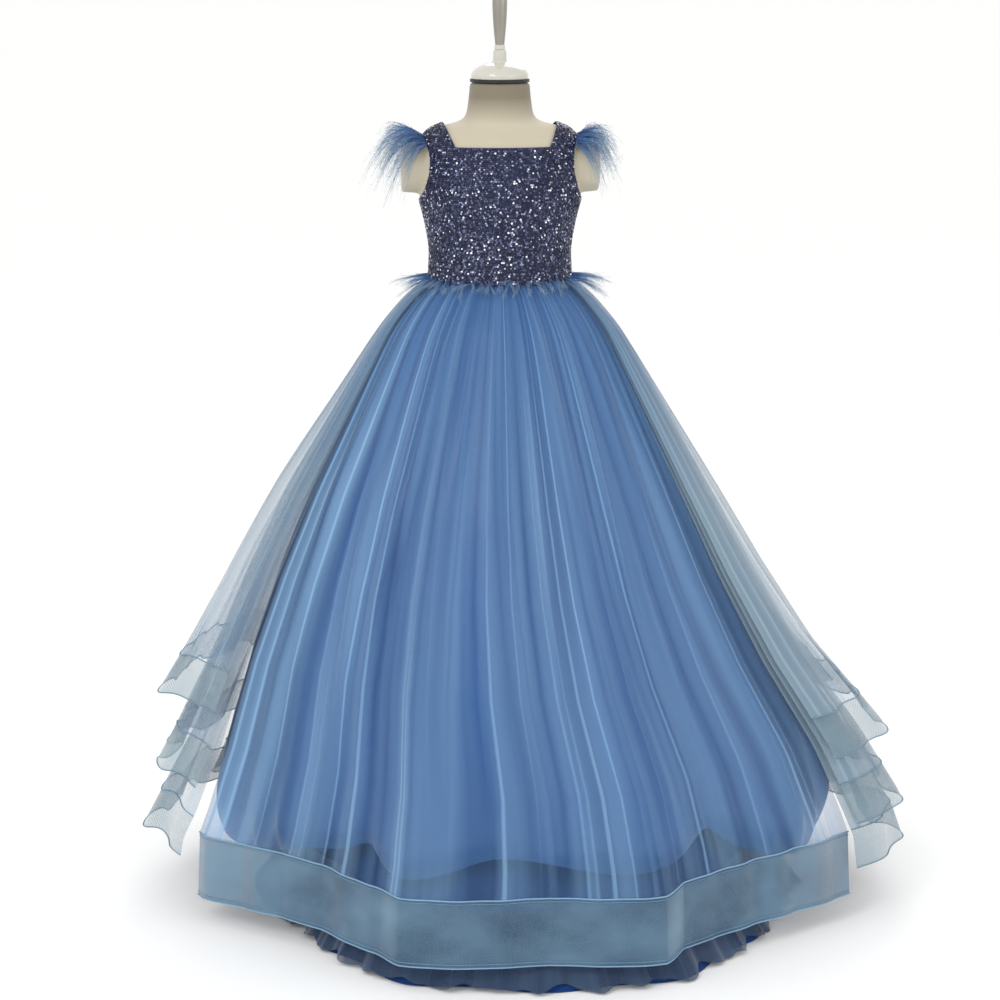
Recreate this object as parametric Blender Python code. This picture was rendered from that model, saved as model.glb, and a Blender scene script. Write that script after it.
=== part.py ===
"""A child's floor-length princess dress, standing on a limbless dress form.

Metres, +Z up. The origin is on the floor under the form's pole. The dress faces -Y, and its
wearer's left side is at +X. A bearing is an angle round the pole in degrees: 0 is the front,
90 is +X, 180 is the back. Each skirt layer is a thin wall round the pole, and the layers are
nested: petticoat, satin, front net panel, then three net tiers round the sides and back.
"""

import math

import bpy
from mathutils import Vector

# Cloth and seams
CLOTH = 0.0018
CLOTH_AT_WAIST = 0.0010
SEAM = 0.0003
LAYER_STEP = 0.0015

# The waist seam, measured on the innermost layer
WAIST_Z = 0.850
WAIST_HALF_WIDTH = 0.0875
WAIST_HALF_DEPTH = 0.0668

# How far the skirt's middle stands off the pole's axis, towards +X
LEAN = (  # height, shift
    (0.000, 0.035),
    (0.155, 0.035),
    (0.242, 0.030),
    (0.354, 0.012),
    (0.466, 0.003),
    (0.577, 0.000),
    (0.850, 0.000),
)

# Each layer's outline seen from above, where it is widest
PETTICOAT_HEM = (  # bearing, radius
    (0, 0.388),
    (22, 0.400),
    (42, 0.376),
    (64, 0.356),
    (90, 0.375),
    (135, 0.375),
    (180, 0.380),
    (225, 0.375),
    (270, 0.370),
    (295, 0.342),
    (333, 0.392),
)
SATIN_HEM = (  # bearing, radius
    (0, 0.343),
    (21, 0.345),
    (30, 0.340),
    (37, 0.336),
    (50, 0.346),
    (60, 0.374),
    (68, 0.402),
    (76, 0.428),
    (90, 0.425),
    (110, 0.430),
    (135, 0.420),
    (180, 0.410),
    (225, 0.420),
    (250, 0.430),
    (270, 0.425),
    (284, 0.412),
    (292, 0.378),
    (300, 0.350),
    (310, 0.335),
    (326, 0.346),
    (340, 0.345),
)
PANEL_HEM = (  # bearing, radius: the hem's flat front facet has a fold at each end
    (0, 0.379),
    (21, 0.412),
    (28, 0.378),
    (37, 0.372),
    (47, 0.379),
    (57, 0.402),
    (66, 0.436),
    (76, 0.478),
    (90, 0.500),
    (180, 0.460),
    (270, 0.480),
    (284, 0.455),
    (292, 0.412),
    (300, 0.383),
    (310, 0.369),
    (326, 0.388),
    (333, 0.412),
)
# How much of the way from waist to hem outline each layer has spread
PETTICOAT_SPREAD = (  # height, share
    (0.000, 1.00),
    (0.060, 0.84),
    (0.155, 0.66),
    (0.577, 0.30),
    (0.795, 0.085),
    (0.850, 0.00),
)
SATIN_SPREAD = (  # height, share
    (0.155, 1.00),
    (0.242, 0.923),
    (0.354, 0.770),
    (0.577, 0.474),
    (0.795, 0.138),
    (0.850, 0.00),
)
PANEL_SPREAD = (  # height, share
    (0.035, 1.00),
    (0.122, 0.985),
    (0.242, 0.855),
    (0.354, 0.715),
    (0.577, 0.440),
    (0.795, 0.140),
    (0.838, 0.045),
    (0.850, 0.00),
)
TIER_SIDE = (  # height, radius at the side of the long, middle and short tier
    (0.060, 0.490, 0.520, 0.560),
    (0.155, 0.458, 0.482, 0.530),
    (0.242, 0.420, 0.442, 0.481),
    (0.354, 0.364, 0.380, 0.412),
    (0.577, 0.264, 0.274, 0.285),
    (0.795, 0.1445, 0.1475, 0.1505),
    (0.838, 0.1130, 0.1150, 0.1170),
    (0.850, 0.0920, 0.0935, 0.0950),
)
TIER_LEFT_RIGHT = (  # bearing, how wide a tier is there against its side radius
    (0, 1.00),
    (90, 0.99),
    (135, 1.01),
    (180, 1.02),
    (225, 1.02),
    (270, 1.05),
)
# How far a tier's front edge stands off the panel that it lies on
TIER_LIFT = (  # height, lift
    (0.060, 0.024),
    (0.155, 0.018),
    (0.354, 0.012),
    (0.577, 0.006),
    (0.795, 0.002),
    (0.838, 0.0006),
    (0.850, 0.000),
)
# The bearings of the front panel's side edges, and of the tiers' front edges, which lap over them
PANEL_EDGES = (-78.0, 70.0)
TIER_EDGES = (68.0, 284.0)
TIER_LEAVES_PANEL = (77.0, 93.0)
TIER_WAVES_START = 64.0

# Depth of the folds of each layer, trough to crest
PETTICOAT_FOLDS = ((0.0, 0.016), (0.06, 0.010), (0.155, 0.006), (0.577, 0.003), (0.795, 0.0))
SATIN_FOLDS = ((0.155, 0.026), (0.242, 0.020), (0.354, 0.012), (0.577, 0.006), (0.795, 0.001), (0.84, 0.0))
PANEL_FOLDS = (
    (0.035, 0.001), (0.122, 0.002), (0.242, 0.004), (0.577, 0.0036), (0.795, 0.0015), (0.85, 0.0)
)
LONG_TIER_FOLDS = (
    (0.06, 0.036), (0.155, 0.020), (0.242, 0.009), (0.354, 0.005), (0.577, 0.002), (0.795, 0.0)
)
MIDDLE_TIER_FOLDS = ((0.155, 0.026), (0.242, 0.014), (0.354, 0.006), (0.577, 0.002), (0.795, 0.0))
SHORT_TIER_FOLDS = ((0.200, 0.026), (0.290, 0.018), (0.354, 0.010), (0.577, 0.003), (0.795, 0.0))

# Hem bands of stiff braid, and the hems' heights
PANEL_BAND_TOP = 0.122
PANEL_BAND_BOTTOM = 0.035
TIER_BAND_DROP = 0.052
SATIN_HEM_Z = 0.137
SATIN_HEM_RISE = 0.018
TIER_HEM_Z = {  # at the left side, back and right side
    "long": (0.098, 0.085, 0.078),
    "middle": (0.190, 0.170, 0.140),
    "short": (0.290, 0.270, 0.228),
}

# The bodice's outer face, section by section
BODICE_SECTIONS = (  # height, half width, half depth, middle's offset to the back
    (0.8400, 0.0955, 0.0745, 0.000),
    (0.8650, 0.0940, 0.0733, 0.000),
    (0.8950, 0.0935, 0.0738, 0.000),
    (0.9320, 0.1000, 0.0780, -0.001),
    (0.9600, 0.1070, 0.0812, -0.002),
    (0.9850, 0.1085, 0.0810, -0.002),
    (1.0120, 0.1080, 0.0765, 0.000),
    (1.0340, 0.1040, 0.0665, 0.002),
    (1.0460, 0.0950, 0.0560, 0.003),
    (1.0540, 0.0800, 0.0500, 0.003),
    (1.0590, 0.0600, 0.0480, 0.003),
    (1.0620, 0.0490, 0.0465, 0.003),
)
BODICE_WALL = 0.0020
TORSO_SIDES = 32
BODICE_BOTTOM = WAIST_Z + SEAM
NECKLINE_Z = 1.028
NECKLINE_HALF_WIDTH = 0.0616
STRAP_INNER_AT_TOP = 0.0750
SHOULDER_Z = 1.060
ARMHOLE_Z = 0.997
ARMHOLE_RADIUS = 0.0405

# The zip down the centre back
ZIP_HALF_WIDTH = 0.0035
ZIP_TOP = 1.022
ZIP_TAPE = 0.0014
SLIDER_Z = 1.006
SLIDER_SIZE = (0.0064, 0.0018, 0.0105)
TAB_AXIS_OFF_TAPE = 0.0045
TAB_LENGTH = 0.024
TAB_HALF_WIDTH = 0.0022
TAB_THICK = 0.0012
TAB_EYE = 0.0013
TAB_BAR = 0.0007

# The dress form
FORM_SECTIONS = (  # height, half width, half depth, middle's offset to the back
    (0.7000, 0.0960, 0.0820, 0.000),
    (0.7800, 0.0930, 0.0770, 0.000),
    (0.8500, 0.0840, 0.0630, 0.000),
    (0.8950, 0.0870, 0.0670, 0.000),
    (0.9320, 0.0970, 0.0750, -0.001),
    (0.9600, 0.1044, 0.0786, -0.002),
    (0.9850, 0.1059, 0.0784, -0.002),
    (1.0120, 0.1054, 0.0739, 0.000),
    (1.0330, 0.1015, 0.0640, 0.002),
    (1.0445, 0.0925, 0.0535, 0.003),
    (1.0515, 0.0775, 0.0475, 0.003),
    (1.0562, 0.0580, 0.0455, 0.003),
    (1.0640, 0.0455, 0.0440, 0.003),
    (1.0850, 0.0412, 0.0412, 0.003),
    (1.1080, 0.0390, 0.0390, 0.003),
)
STUB_REACH = 0.130
STUB_Z = 0.997
STUB_RADIUS = 0.0355
STUB_END_RADIUS = 0.0310
NECK_Y = 0.003
RING_TOP = 1.1125
CAP_RADIUS = 0.0378
CAP_HEIGHT = 0.0185
CAP_STEM_Z = 1.1365
CAP_STEM_RADIUS = 0.0087
CAP_TOP = 1.1495
COLLAR_RADIUS = 0.0070
COLLAR_TOP = 1.1560
FINIAL_PROFILE = (  # height, radius
    (COLLAR_TOP + SEAM, 0.0060),
    (1.1850, 0.0080),
    (1.2120, 0.0097),
    (1.2150, 0.0097),
    (1.2220, 0.0090),
    (1.2270, 0.0060),
    (1.2290, 0.0025),
)
POLE_RADIUS = 0.0125
BASE_HEIGHT = 0.024
BASE_PROFILE = (  # height, radius
    (0.000, 0.140),
    (0.008, 0.140),
    (0.013, 0.130),
    (0.018, 0.035),
    (BASE_HEIGHT, 0.020),
)
FORM_BOTTOM = FORM_SECTIONS[0][0]
NECK_TOP = FORM_SECTIONS[-1][0]

# Feather trims: strands fused to a narrow strip
STRIP_THICK = 0.0012
STRIP_CELL = 0.0026
ARMHOLE_CELLS = 20
ARMHOLE_TRIM_HALF_TURN = 44
ARMHOLE_STRANDS = (  # trim, its side, length of its strands
    ("left", -1, 0.082),
    ("right", 1, 0.069),
)
HIP_TUFT_LEFT = 0.012
HIP_TUFT_RIGHT = 0.019
WAIST_CELLS = 50


def at_height(table, height, column=1):
    """A column of a table whose first column is height, in straight lines between its rows."""
    rows = sorted(table)
    if height <= rows[0][0]:
        return rows[0][column]
    for low, high in zip(rows, rows[1:]):
        if height <= high[0]:
            share = (height - low[0]) / (high[0] - low[0])
            return low[column] + share * (high[column] - low[column])
    return rows[-1][column]


def at_bearing(table, bearing):
    """The second column of a table round the pole, eased from row to row."""
    bearing %= 360.0
    rows = sorted(table)
    rows = rows + [(rows[0][0] + 360, rows[0][1])]
    for low, high in zip(rows, rows[1:]):
        if bearing <= high[0]:
            share = (bearing - low[0]) / (high[0] - low[0])
            share = 0.5 * share + 0.5 * share * share * (3 - 2 * share)
            return low[1] + share * (high[1] - low[1])
    return rows[-1][1]


def smooth_step(value, low, high):
    share = min(max((value - low) / (high - low), 0.0), 1.0)
    return share * share * (3 - 2 * share)


def signed(bearing):
    """The same bearing from -180 to 180."""
    return (bearing + 180.0) % 360.0 - 180.0


def waist_radius(bearing, stack):
    turn = math.radians(bearing)
    width = WAIST_HALF_WIDTH + stack * LAYER_STEP
    depth = WAIST_HALF_DEPTH + stack * LAYER_STEP
    return 1.0 / math.hypot(math.sin(turn) / width, math.cos(turn) / depth)


def spread_radius(hem, spread, stack, bearing, height):
    waist = waist_radius(bearing, stack)
    return waist + (at_bearing(hem, bearing) - waist) * at_height(spread, height)


def petticoat_radius(bearing, height, phase):
    depth = at_height(PETTICOAT_FOLDS, height)
    base = spread_radius(PETTICOAT_HEM, PETTICOAT_SPREAD, 0, bearing, height)
    return base + depth * (math.cos(phase) - 1) / 2


def satin_radius(bearing, height, phase):
    depth = at_height(SATIN_FOLDS, height)
    base = spread_radius(SATIN_HEM, SATIN_SPREAD, 1, bearing, height)
    return base + depth * (math.cos(phase) - 1) / 2


def panel_base(bearing, height, stack):
    return spread_radius(PANEL_HEM, PANEL_SPREAD, stack, bearing, height)


def panel_radius(bearing, height, phase):
    depth = at_height(PANEL_FOLDS, height)
    return panel_base(bearing, height, 2) + depth * (1 + math.cos(phase)) / 2


def tier_radius(order, folds):
    """A tier's radius: on the panel at its front edge, and swinging out wide at the side."""

    def radius(bearing, height, phase):
        stack = 2 + order
        off_centre = abs(signed(bearing))
        on_panel = panel_base(bearing, height, stack)
        on_panel += (0.3 + 0.7 * order) * at_height(TIER_LIFT, height)
        waist = waist_radius(bearing, stack)
        side = at_height(TIER_SIDE, height, order) - waist_radius(90, stack)
        free = waist + side * at_bearing(TIER_LEFT_RIGHT, bearing)
        swing = smooth_step(off_centre, *TIER_LEAVES_PANEL)
        edge = smooth_step(off_centre, TIER_WAVES_START, TIER_LEAVES_PANEL[1])
        wave = at_height(folds, height) * edge * (1 + math.cos(phase)) / 2
        return on_panel + (free - on_panel) * swing + wave

    return radius


def tier_hem_height(name, bearing):
    left, back, right = TIER_HEM_Z[name]
    side = signed(bearing)
    edge = right if side > 0 else left
    return edge + (back - edge) * smooth_step(abs(side), 90, 180)


def place(bearing, height, radius):
    turn = math.radians(bearing)
    shift = at_height(LEAN, height)
    return Vector((shift + radius * math.sin(turn), -radius * math.cos(turn), height))


def wall_thickness(height):
    return CLOTH + (CLOTH_AT_WAIST - CLOTH) * smooth_step(height, 0.60, 0.79)


def plain_material(name, colour, roughness, metallic=0.0):
    material = bpy.data.materials.new(name)
    material.use_nodes = True
    shader = material.node_tree.nodes["Principled BSDF"]
    shader.inputs["Base Color"].default_value = (*colour, 1)
    shader.inputs["Roughness"].default_value = roughness
    shader.inputs["Metallic"].default_value = metallic
    return material


def add_object(name, points, faces, material, sharp_degrees=40):
    mesh = bpy.data.meshes.new(name)
    mesh.from_pydata(points, [], faces)
    mesh.validate()
    mesh.shade_smooth()
    mesh.set_sharp_from_angle(angle=math.radians(sharp_degrees))
    mesh.materials.append(material)
    piece = bpy.data.objects.new(name, mesh)
    bpy.context.collection.objects.link(piece)
    return piece


def cloth_wall(name, outer, inner, closed, material):
    """A wall between two grids of points. Rows run from top to bottom, columns round the pole."""
    rows, columns = len(outer), len(outer[0])
    points = [p for row in outer for p in row] + [p for row in inner for p in row]
    skip = rows * columns
    faces = []
    last = columns if closed else columns - 1
    for i in range(rows - 1):
        for j in range(last):
            a = i * columns + j
            b = i * columns + (j + 1) % columns
            faces.append((a, a + columns, b + columns, b))
            faces.append((skip + a, skip + b, skip + b + columns, skip + a + columns))
    low = (rows - 1) * columns
    for j in range(last):
        k = (j + 1) % columns
        faces.append((j, k, skip + k, skip + j))
        faces.append((low + j, skip + low + j, skip + low + k, low + k))
    if not closed:
        for i in range(rows - 1):
            a, b = i * columns, (i + 1) * columns
            faces.append((a, skip + a, skip + b, b))
            a, b = a + columns - 1, b + columns - 1
            faces.append((a, b, skip + b, skip + a))
    return add_object(name, points, faces, material)


def layer(name, radius, heights_at, start, span, folds, per_fold, uneven, material):
    """One layer of cloth. heights_at gives the rows' heights at a bearing, top to bottom."""
    closed = span >= 360
    columns = folds * per_fold + (0 if closed else 1)
    outer, inner = [], []
    for row in range(len(heights_at(start))):
        outer_row, inner_row = [], []
        for column in range(columns):
            share = column / (folds * per_fold)
            phase = 2 * math.pi * folds * share
            bearing = start + span * (share + uneven * math.sin(4 * math.pi * share) / folds)
            height = heights_at(bearing)[row]
            reach = radius(bearing, height, phase)
            outer_row.append(place(bearing, height, reach))
            inner_row.append(place(bearing, height, reach - wall_thickness(height)))
        outer.append(outer_row)
        inner.append(inner_row)
    return cloth_wall(name, outer, inner, closed, material)


def build_skirts(materials):
    upper = (WAIST_Z, 0.838, 0.795)
    layer(
        "petticoat",
        petticoat_radius,
        lambda bearing: (WAIST_Z, 0.795, 0.577, 0.155, 0.060, 0.0),
        0, 360, 14, 4, 0.10, materials["petticoat"],
    )
    layer(
        "satin_skirt",
        satin_radius,
        lambda bearing: (WAIST_Z, 0.795, 0.577, 0.354, 0.242, satin_hem_height(bearing)),
        0, 360, 12, 5, 0.10, materials["satin"],
    )
    layer(
        "front_net_panel",
        panel_radius,
        lambda bearing: upper + (0.577, 0.354, 0.242, PANEL_BAND_TOP + SEAM),
        PANEL_EDGES[0], PANEL_EDGES[1] - PANEL_EDGES[0], 17, 4, 0.0, materials["net"],
    )
    layer(
        "front_hem_band",
        panel_radius,
        lambda bearing: (PANEL_BAND_TOP, PANEL_BAND_BOTTOM),
        PANEL_EDGES[0], PANEL_EDGES[1] - PANEL_EDGES[0], 17, 3, 0.0, materials["braid"],
    )
    tiers = (
        ("long", 1, LONG_TIER_FOLDS, (0.577, 0.354, 0.242), 14, 0.25),
        ("middle", 2, MIDDLE_TIER_FOLDS, (0.577, 0.354), 13, -0.25),
        ("short", 3, SHORT_TIER_FOLDS, (0.577,), 14, 0.20),
    )
    for name, order, folds, between, waves, uneven in tiers:
        radius = tier_radius(order, folds)

        def net_heights(bearing, name=name, between=between):
            top_of_band = tier_hem_height(name, bearing) + TIER_BAND_DROP
            return upper + between + (top_of_band + SEAM,)

        def band_heights(bearing, name=name):
            hem = tier_hem_height(name, bearing)
            return (hem + TIER_BAND_DROP, hem)

        around = (TIER_EDGES[0], TIER_EDGES[1] - TIER_EDGES[0], waves, 4, uneven)
        layer(f"{name}_net_tier", radius, net_heights, *around, materials["net"])
        layer(f"{name}_tier_band", radius, band_heights, *around, materials["braid"])


def satin_hem_height(bearing):
    """The satin's hem rises and falls seven times round."""
    return SATIN_HEM_Z + SATIN_HEM_RISE * math.sin(math.radians(7 * bearing + 125))


def loft_points(sections, sides):
    rings = []
    for height, half_width, half_depth, back in sections:
        ring = []
        for k in range(sides):
            turn = 2 * math.pi * k / sides
            x, y = half_width * math.sin(turn), back - half_depth * math.cos(turn)
            ring.append(Vector((x, y, height)))
        rings.append(ring)
    return rings


def loft(name, rings, material, sharp_degrees=40):
    """A closed body through rings of points, from the lowest to the highest."""
    sides = len(rings[0])
    points = [p for ring in rings for p in ring]
    faces = [tuple(reversed(range(sides))), tuple(range(len(points) - sides, len(points)))]
    for i in range(len(rings) - 1):
        for j in range(sides):
            a, b = i * sides + j, i * sides + (j + 1) % sides
            faces.append((a, b, b + sides, a + sides))
    return add_object(name, points, faces, material, sharp_degrees)


def lathe(name, profile, material, sides=24, middle_y=NECK_Y, sharp_degrees=40):
    """A turned body: profile rows are (height, radius), from the bottom up."""
    sections = [(height, radius, radius, middle_y) for height, radius in profile]
    return loft(name, loft_points(sections, sides), material, sharp_degrees)


def modify(piece, cutter, operation):
    boolean = piece.modifiers.new(f"{operation.lower()} {cutter.name}", "BOOLEAN")
    boolean.operation = operation
    boolean.object = cutter
    boolean.solver = "EXACT"


def helper(piece):
    """A cutter or an added shape, which is not a piece of its own."""
    piece.hide_render = True
    piece.display_type = "WIRE"
    return piece


def box(name, low, high, material):
    corners = [Vector((x, y, z)) for z in (low[2], high[2]) for x, y in (
        (low[0], low[1]), (high[0], low[1]), (high[0], high[1]), (low[0], high[1])
    )]
    faces = [(3, 2, 1, 0), (4, 5, 6, 7), (0, 1, 5, 4), (1, 2, 6, 5), (2, 3, 7, 6), (3, 0, 4, 7)]
    return add_object(name, corners, faces, material)


def prism_along_y(name, outline, low_y, high_y, material):
    """outline is (x, z) pairs, anticlockwise as seen from the front."""
    count = len(outline)
    points = [Vector((x, low_y, z)) for x, z in outline] + [Vector((x, high_y, z)) for x, z in outline]
    faces = [tuple(range(count)), tuple(reversed(range(count, 2 * count)))]
    for j in range(count):
        k = (j + 1) % count
        faces.append((j, j + count, k + count, k))
    return add_object(name, points, faces, material)


def cylinder_along_x(name, low_x, high_x, y, z, low_radius, high_radius, sides, material):
    rings = []
    for x, radius in ((low_x, low_radius), (high_x, high_radius)):
        ring = []
        for k in range(sides):
            turn = 2 * math.pi * k / sides
            ring.append(Vector((x, y + radius * math.cos(turn), z + radius * math.sin(turn))))
        rings.append(ring)
    return loft(name, rings, material)


def bodice_body(name, inset, material):
    """The whole outer form of the bodice, moved in by inset along its normals."""
    piece = loft(name, loft_points(BODICE_SECTIONS, TORSO_SIDES), material)
    mesh = piece.data
    if inset:
        normals = [vertex.normal.copy() for vertex in mesh.vertices]
        for vertex, normal in zip(mesh.vertices, normals):
            vertex.co -= normal * inset
    return piece


def bodice_back_y(height):
    return at_height(BODICE_SECTIONS, height, 2) + at_height(BODICE_SECTIONS, height, 3)


def bodice_side_x(y, height):
    """How far the bodice's outer face stands from the middle at the side, at a given depth."""
    width, depth, back = (at_height(BODICE_SECTIONS, height, column) for column in (1, 2, 3))
    return width * math.sqrt(1 - ((y - back) / depth) ** 2)


def build_bodice(materials):
    cloth = materials["sequins"]
    far = 0.3
    inner = bodice_body("bodice_hollow", BODICE_WALL, cloth)
    for ring in (inner.data.vertices[:TORSO_SIDES], inner.data.vertices[-TORSO_SIDES:]):
        for vertex in ring:
            vertex.co.z += 0.02 if vertex.co.z > NECKLINE_Z else -0.02
    neckline = prism_along_y(
        "neckline",
        (
            (-NECKLINE_HALF_WIDTH, NECKLINE_Z),
            (NECKLINE_HALF_WIDTH, NECKLINE_Z),
            (STRAP_INNER_AT_TOP + 0.01, SHOULDER_Z + 0.02),
            (-STRAP_INNER_AT_TOP - 0.01, SHOULDER_Z + 0.02),
        ),
        -far, far, cloth,
    )
    armholes = cylinder_along_x(
        "armholes", -far, far, 0, ARMHOLE_Z, ARMHOLE_RADIUS, ARMHOLE_RADIUS, 24, cloth
    )
    skirt_side = box("below_waist", (-far, -far, 0.7), (far, far, BODICE_BOTTOM), cloth)
    half_seam = SEAM / 2
    zip_gap = ZIP_HALF_WIDTH + SEAM
    behind = box("behind", (-far, -half_seam, 0.7), (far, far, 1.2), cloth)
    before = box("before", (-far, -far, 0.7), (far, half_seam, 1.2), cloth)
    right_of_zip = box("right_of_zip", (-zip_gap, -far, 0.7), (far, far, 1.2), cloth)
    left_of_zip = box("left_of_zip", (-far, -far, 0.7), (zip_gap, far, 1.2), cloth)
    cutters = (inner, neckline, armholes, skirt_side)
    for cutter in cutters + (behind, before, right_of_zip, left_of_zip):
        helper(cutter)
    for name, sides_off in (
        ("bodice_front", (behind,)),
        ("bodice_back_left", (before, right_of_zip)),
        ("bodice_back_right", (before, left_of_zip)),
    ):
        panel = bodice_body(name, 0, cloth)
        for cutter in cutters + sides_off:
            modify(panel, cutter, "DIFFERENCE")


def build_zip(materials):
    heights = [BODICE_BOTTOM + 0.001]
    heights += [row[0] for row in BODICE_SECTIONS if 0.86 < row[0] < ZIP_TOP]
    heights.append(ZIP_TOP)
    outer = [
        [Vector((x, bodice_back_y(z) - 0.0002, z)) for x in (ZIP_HALF_WIDTH, -ZIP_HALF_WIDTH)]
        for z in heights
    ]
    inner = [[p - Vector((0, ZIP_TAPE, 0)) for p in row] for row in outer]
    outer.reverse()
    inner.reverse()
    cloth_wall("zip_tape", outer, inner, False, materials["tape"])

    width, thick, length = SLIDER_SIZE
    back = max(bodice_back_y(SLIDER_Z + k * length / 2) for k in (-1, 0, 1)) + SEAM
    axis_y = back + TAB_AXIS_OFF_TAPE
    axis_z = SLIDER_Z + 0.002
    slider = box(
        "zip_slider",
        (-width / 2, back, SLIDER_Z - length / 2),
        (width / 2, back + thick, SLIDER_Z + length / 2),
        materials["zip_metal"],
    )
    lug_inner = TAB_HALF_WIDTH + 0.0003
    for side in (-1, 1):
        ends = sorted((side * lug_inner, side * (lug_inner + 0.0007)))
        lug = box(
            f"lug_{side + 1}",
            (ends[0], back + thick / 2, axis_z - 0.0014),
            (ends[1], axis_y + 0.0013, axis_z + 0.0014),
            materials["zip_metal"],
        )
        modify(slider, helper(lug), "UNION")
    bar_end = lug_inner + 0.0003
    bar = cylinder_along_x(
        "bar", -bar_end, bar_end, axis_y, axis_z, TAB_BAR, TAB_BAR, 10, materials["zip_metal"]
    )
    modify(slider, helper(bar), "UNION")

    swing = bpy.data.objects.new("pull_tab_axis", None)
    swing.location = (0, axis_y, axis_z)
    bpy.context.collection.objects.link(swing)
    eye = TAB_EYE + 0.0009
    tab = cylinder_along_x(
        "pull_tab", -TAB_HALF_WIDTH, TAB_HALF_WIDTH, 0, 0, eye, eye, 16, materials["zip_metal"]
    )
    blade = box(
        "blade",
        (-TAB_HALF_WIDTH, -TAB_THICK / 2, -TAB_LENGTH),
        (TAB_HALF_WIDTH, TAB_THICK / 2, -TAB_EYE - 0.0004),
        materials["zip_metal"],
    )
    hole = cylinder_along_x("eye", -0.01, 0.01, 0, 0, TAB_EYE, TAB_EYE, 12, materials["zip_metal"])
    for part in (blade, hole, tab):
        part.parent = swing
    modify(tab, helper(blade), "UNION")
    modify(tab, helper(hole), "DIFFERENCE")


def build_form(materials):
    torso = loft("form_bust", loft_points(FORM_SECTIONS, TORSO_SIDES), materials["form"])
    for side in (-1, 1):
        ends = ((0.07, STUB_RADIUS), (STUB_REACH, STUB_END_RADIUS))
        (near, near_radius), (tip, tip_radius) = ends if side > 0 else ends[::-1]
        near, tip = side * near, side * tip
        stub = cylinder_along_x(
            f"stub_{side + 1}", near, tip, 0, STUB_Z, near_radius, tip_radius, 20, materials["form"]
        )
        modify(torso, helper(stub), "UNION")
    ring_radius = FORM_SECTIONS[-1][1]
    lathe(
        "form_neck_ring",
        ((NECK_TOP + SEAM, ring_radius), (RING_TOP, ring_radius)),
        materials["black"],
        24,
    )
    cap_bottom = RING_TOP + SEAM
    dome = [(cap_bottom, CAP_RADIUS - 0.0004)]
    for k in range(4):
        turn = math.radians(21 * k + 4)
        dome.append((cap_bottom + 0.003 + CAP_HEIGHT * math.sin(turn), CAP_RADIUS * math.cos(turn)))
    dome += [(CAP_STEM_Z, CAP_STEM_RADIUS), (CAP_TOP, CAP_STEM_RADIUS)]
    lathe("form_cap", dome, materials["gloss"], 24)
    collar = ((CAP_TOP + SEAM, COLLAR_RADIUS), (COLLAR_TOP, COLLAR_RADIUS))
    lathe("form_collar", collar, materials["gloss"], 16)
    lathe("form_finial", FINIAL_PROFILE, materials["steel"], 16)
    lathe(
        "form_pole",
        ((BASE_HEIGHT + SEAM, POLE_RADIUS), (FORM_BOTTOM - SEAM, POLE_RADIUS)),
        materials["steel"],
        16,
        0,
    )
    lathe(
        "form_base",
        BASE_PROFILE,
        materials["gloss"],
        28,
        0,
    )


def feather_trim(name, roots, closed, strand, material):
    """A strip through the roots, each (middle, outward, across the strip), with a strand growing
    from its outer cells, two at each root. strand(i, row) gives a strand's middle line and the
    half widths along it, or None for a bare cell."""
    count = len(roots)
    points = []
    for middle, outward, across in roots:
        points += [middle + across * STRIP_CELL * k for k in (-1, 0, 1)]
        points += [middle - outward * STRIP_THICK + across * STRIP_CELL * k for k in (-1, 1)]
    faces = []
    for i in range(count if closed else count - 1):
        a, b = i * 5, ((i + 1) % count) * 5
        faces.append((a + 3, a + 4, b + 4, b + 3))
        faces.append((a, a + 3, b + 3, b))
        faces.append((a + 2, b + 2, b + 4, a + 4))
        for row in (0, 1):
            cell = (a + row, b + row, b + row + 1, a + row + 1)
            grown = strand(i, row)
            faces += grow(points, cell, *grown) if grown else [cell]
    if not closed:
        last = 5 * (count - 1)
        faces.append((0, 1, 2, 4, 3))
        faces.append((last + 3, last + 4, last + 2, last + 1, last))
    return add_object(name, points, faces, material, 60)


def grow(points, cell, line, half_widths):
    """Adds a tapering four-sided strand on a cell, and returns its faces. The line's last point
    is the strand's tip."""
    corners = [points[k] for k in cell]
    middle = sum(corners, Vector()) / 4
    spokes = [(corner - middle).normalized() for corner in corners]
    start = (line[0] - middle).normalized()
    faces, below = [], list(cell)
    for step, half in enumerate(half_widths):
        ahead = line[step + 1] - (line[step - 1] if step else middle)
        turn = start.rotation_difference(ahead.normalized())
        above = []
        for spoke in spokes:
            above.append(len(points))
            points.append(line[step] + turn @ spoke * half)
        for k in range(4):
            n = (k + 1) % 4
            faces.append((below[k], below[n], above[n], above[k]))
        below = above
    tip = len(points)
    points.append(line[-1])
    faces += [(below[k], below[(k + 1) % 4], tip) for k in range(4)]
    return faces


def scatter(*seeds):
    """A repeatable number from -1 to 1 for a strand."""
    value = math.sin(sum(seed * weight for seed, weight in zip(seeds, (12.99, 78.23, 37.72)))) * 4375.85
    return 2 * (value - math.floor(value)) - 1


def arc(root, first, last, shares):
    """Points on a curve that leaves root along first and comes in along last."""
    elbow = root + first
    end = elbow + last
    return [root * (1 - s) ** 2 + elbow * 2 * s * (1 - s) + end * s * s for s in shares]


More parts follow.
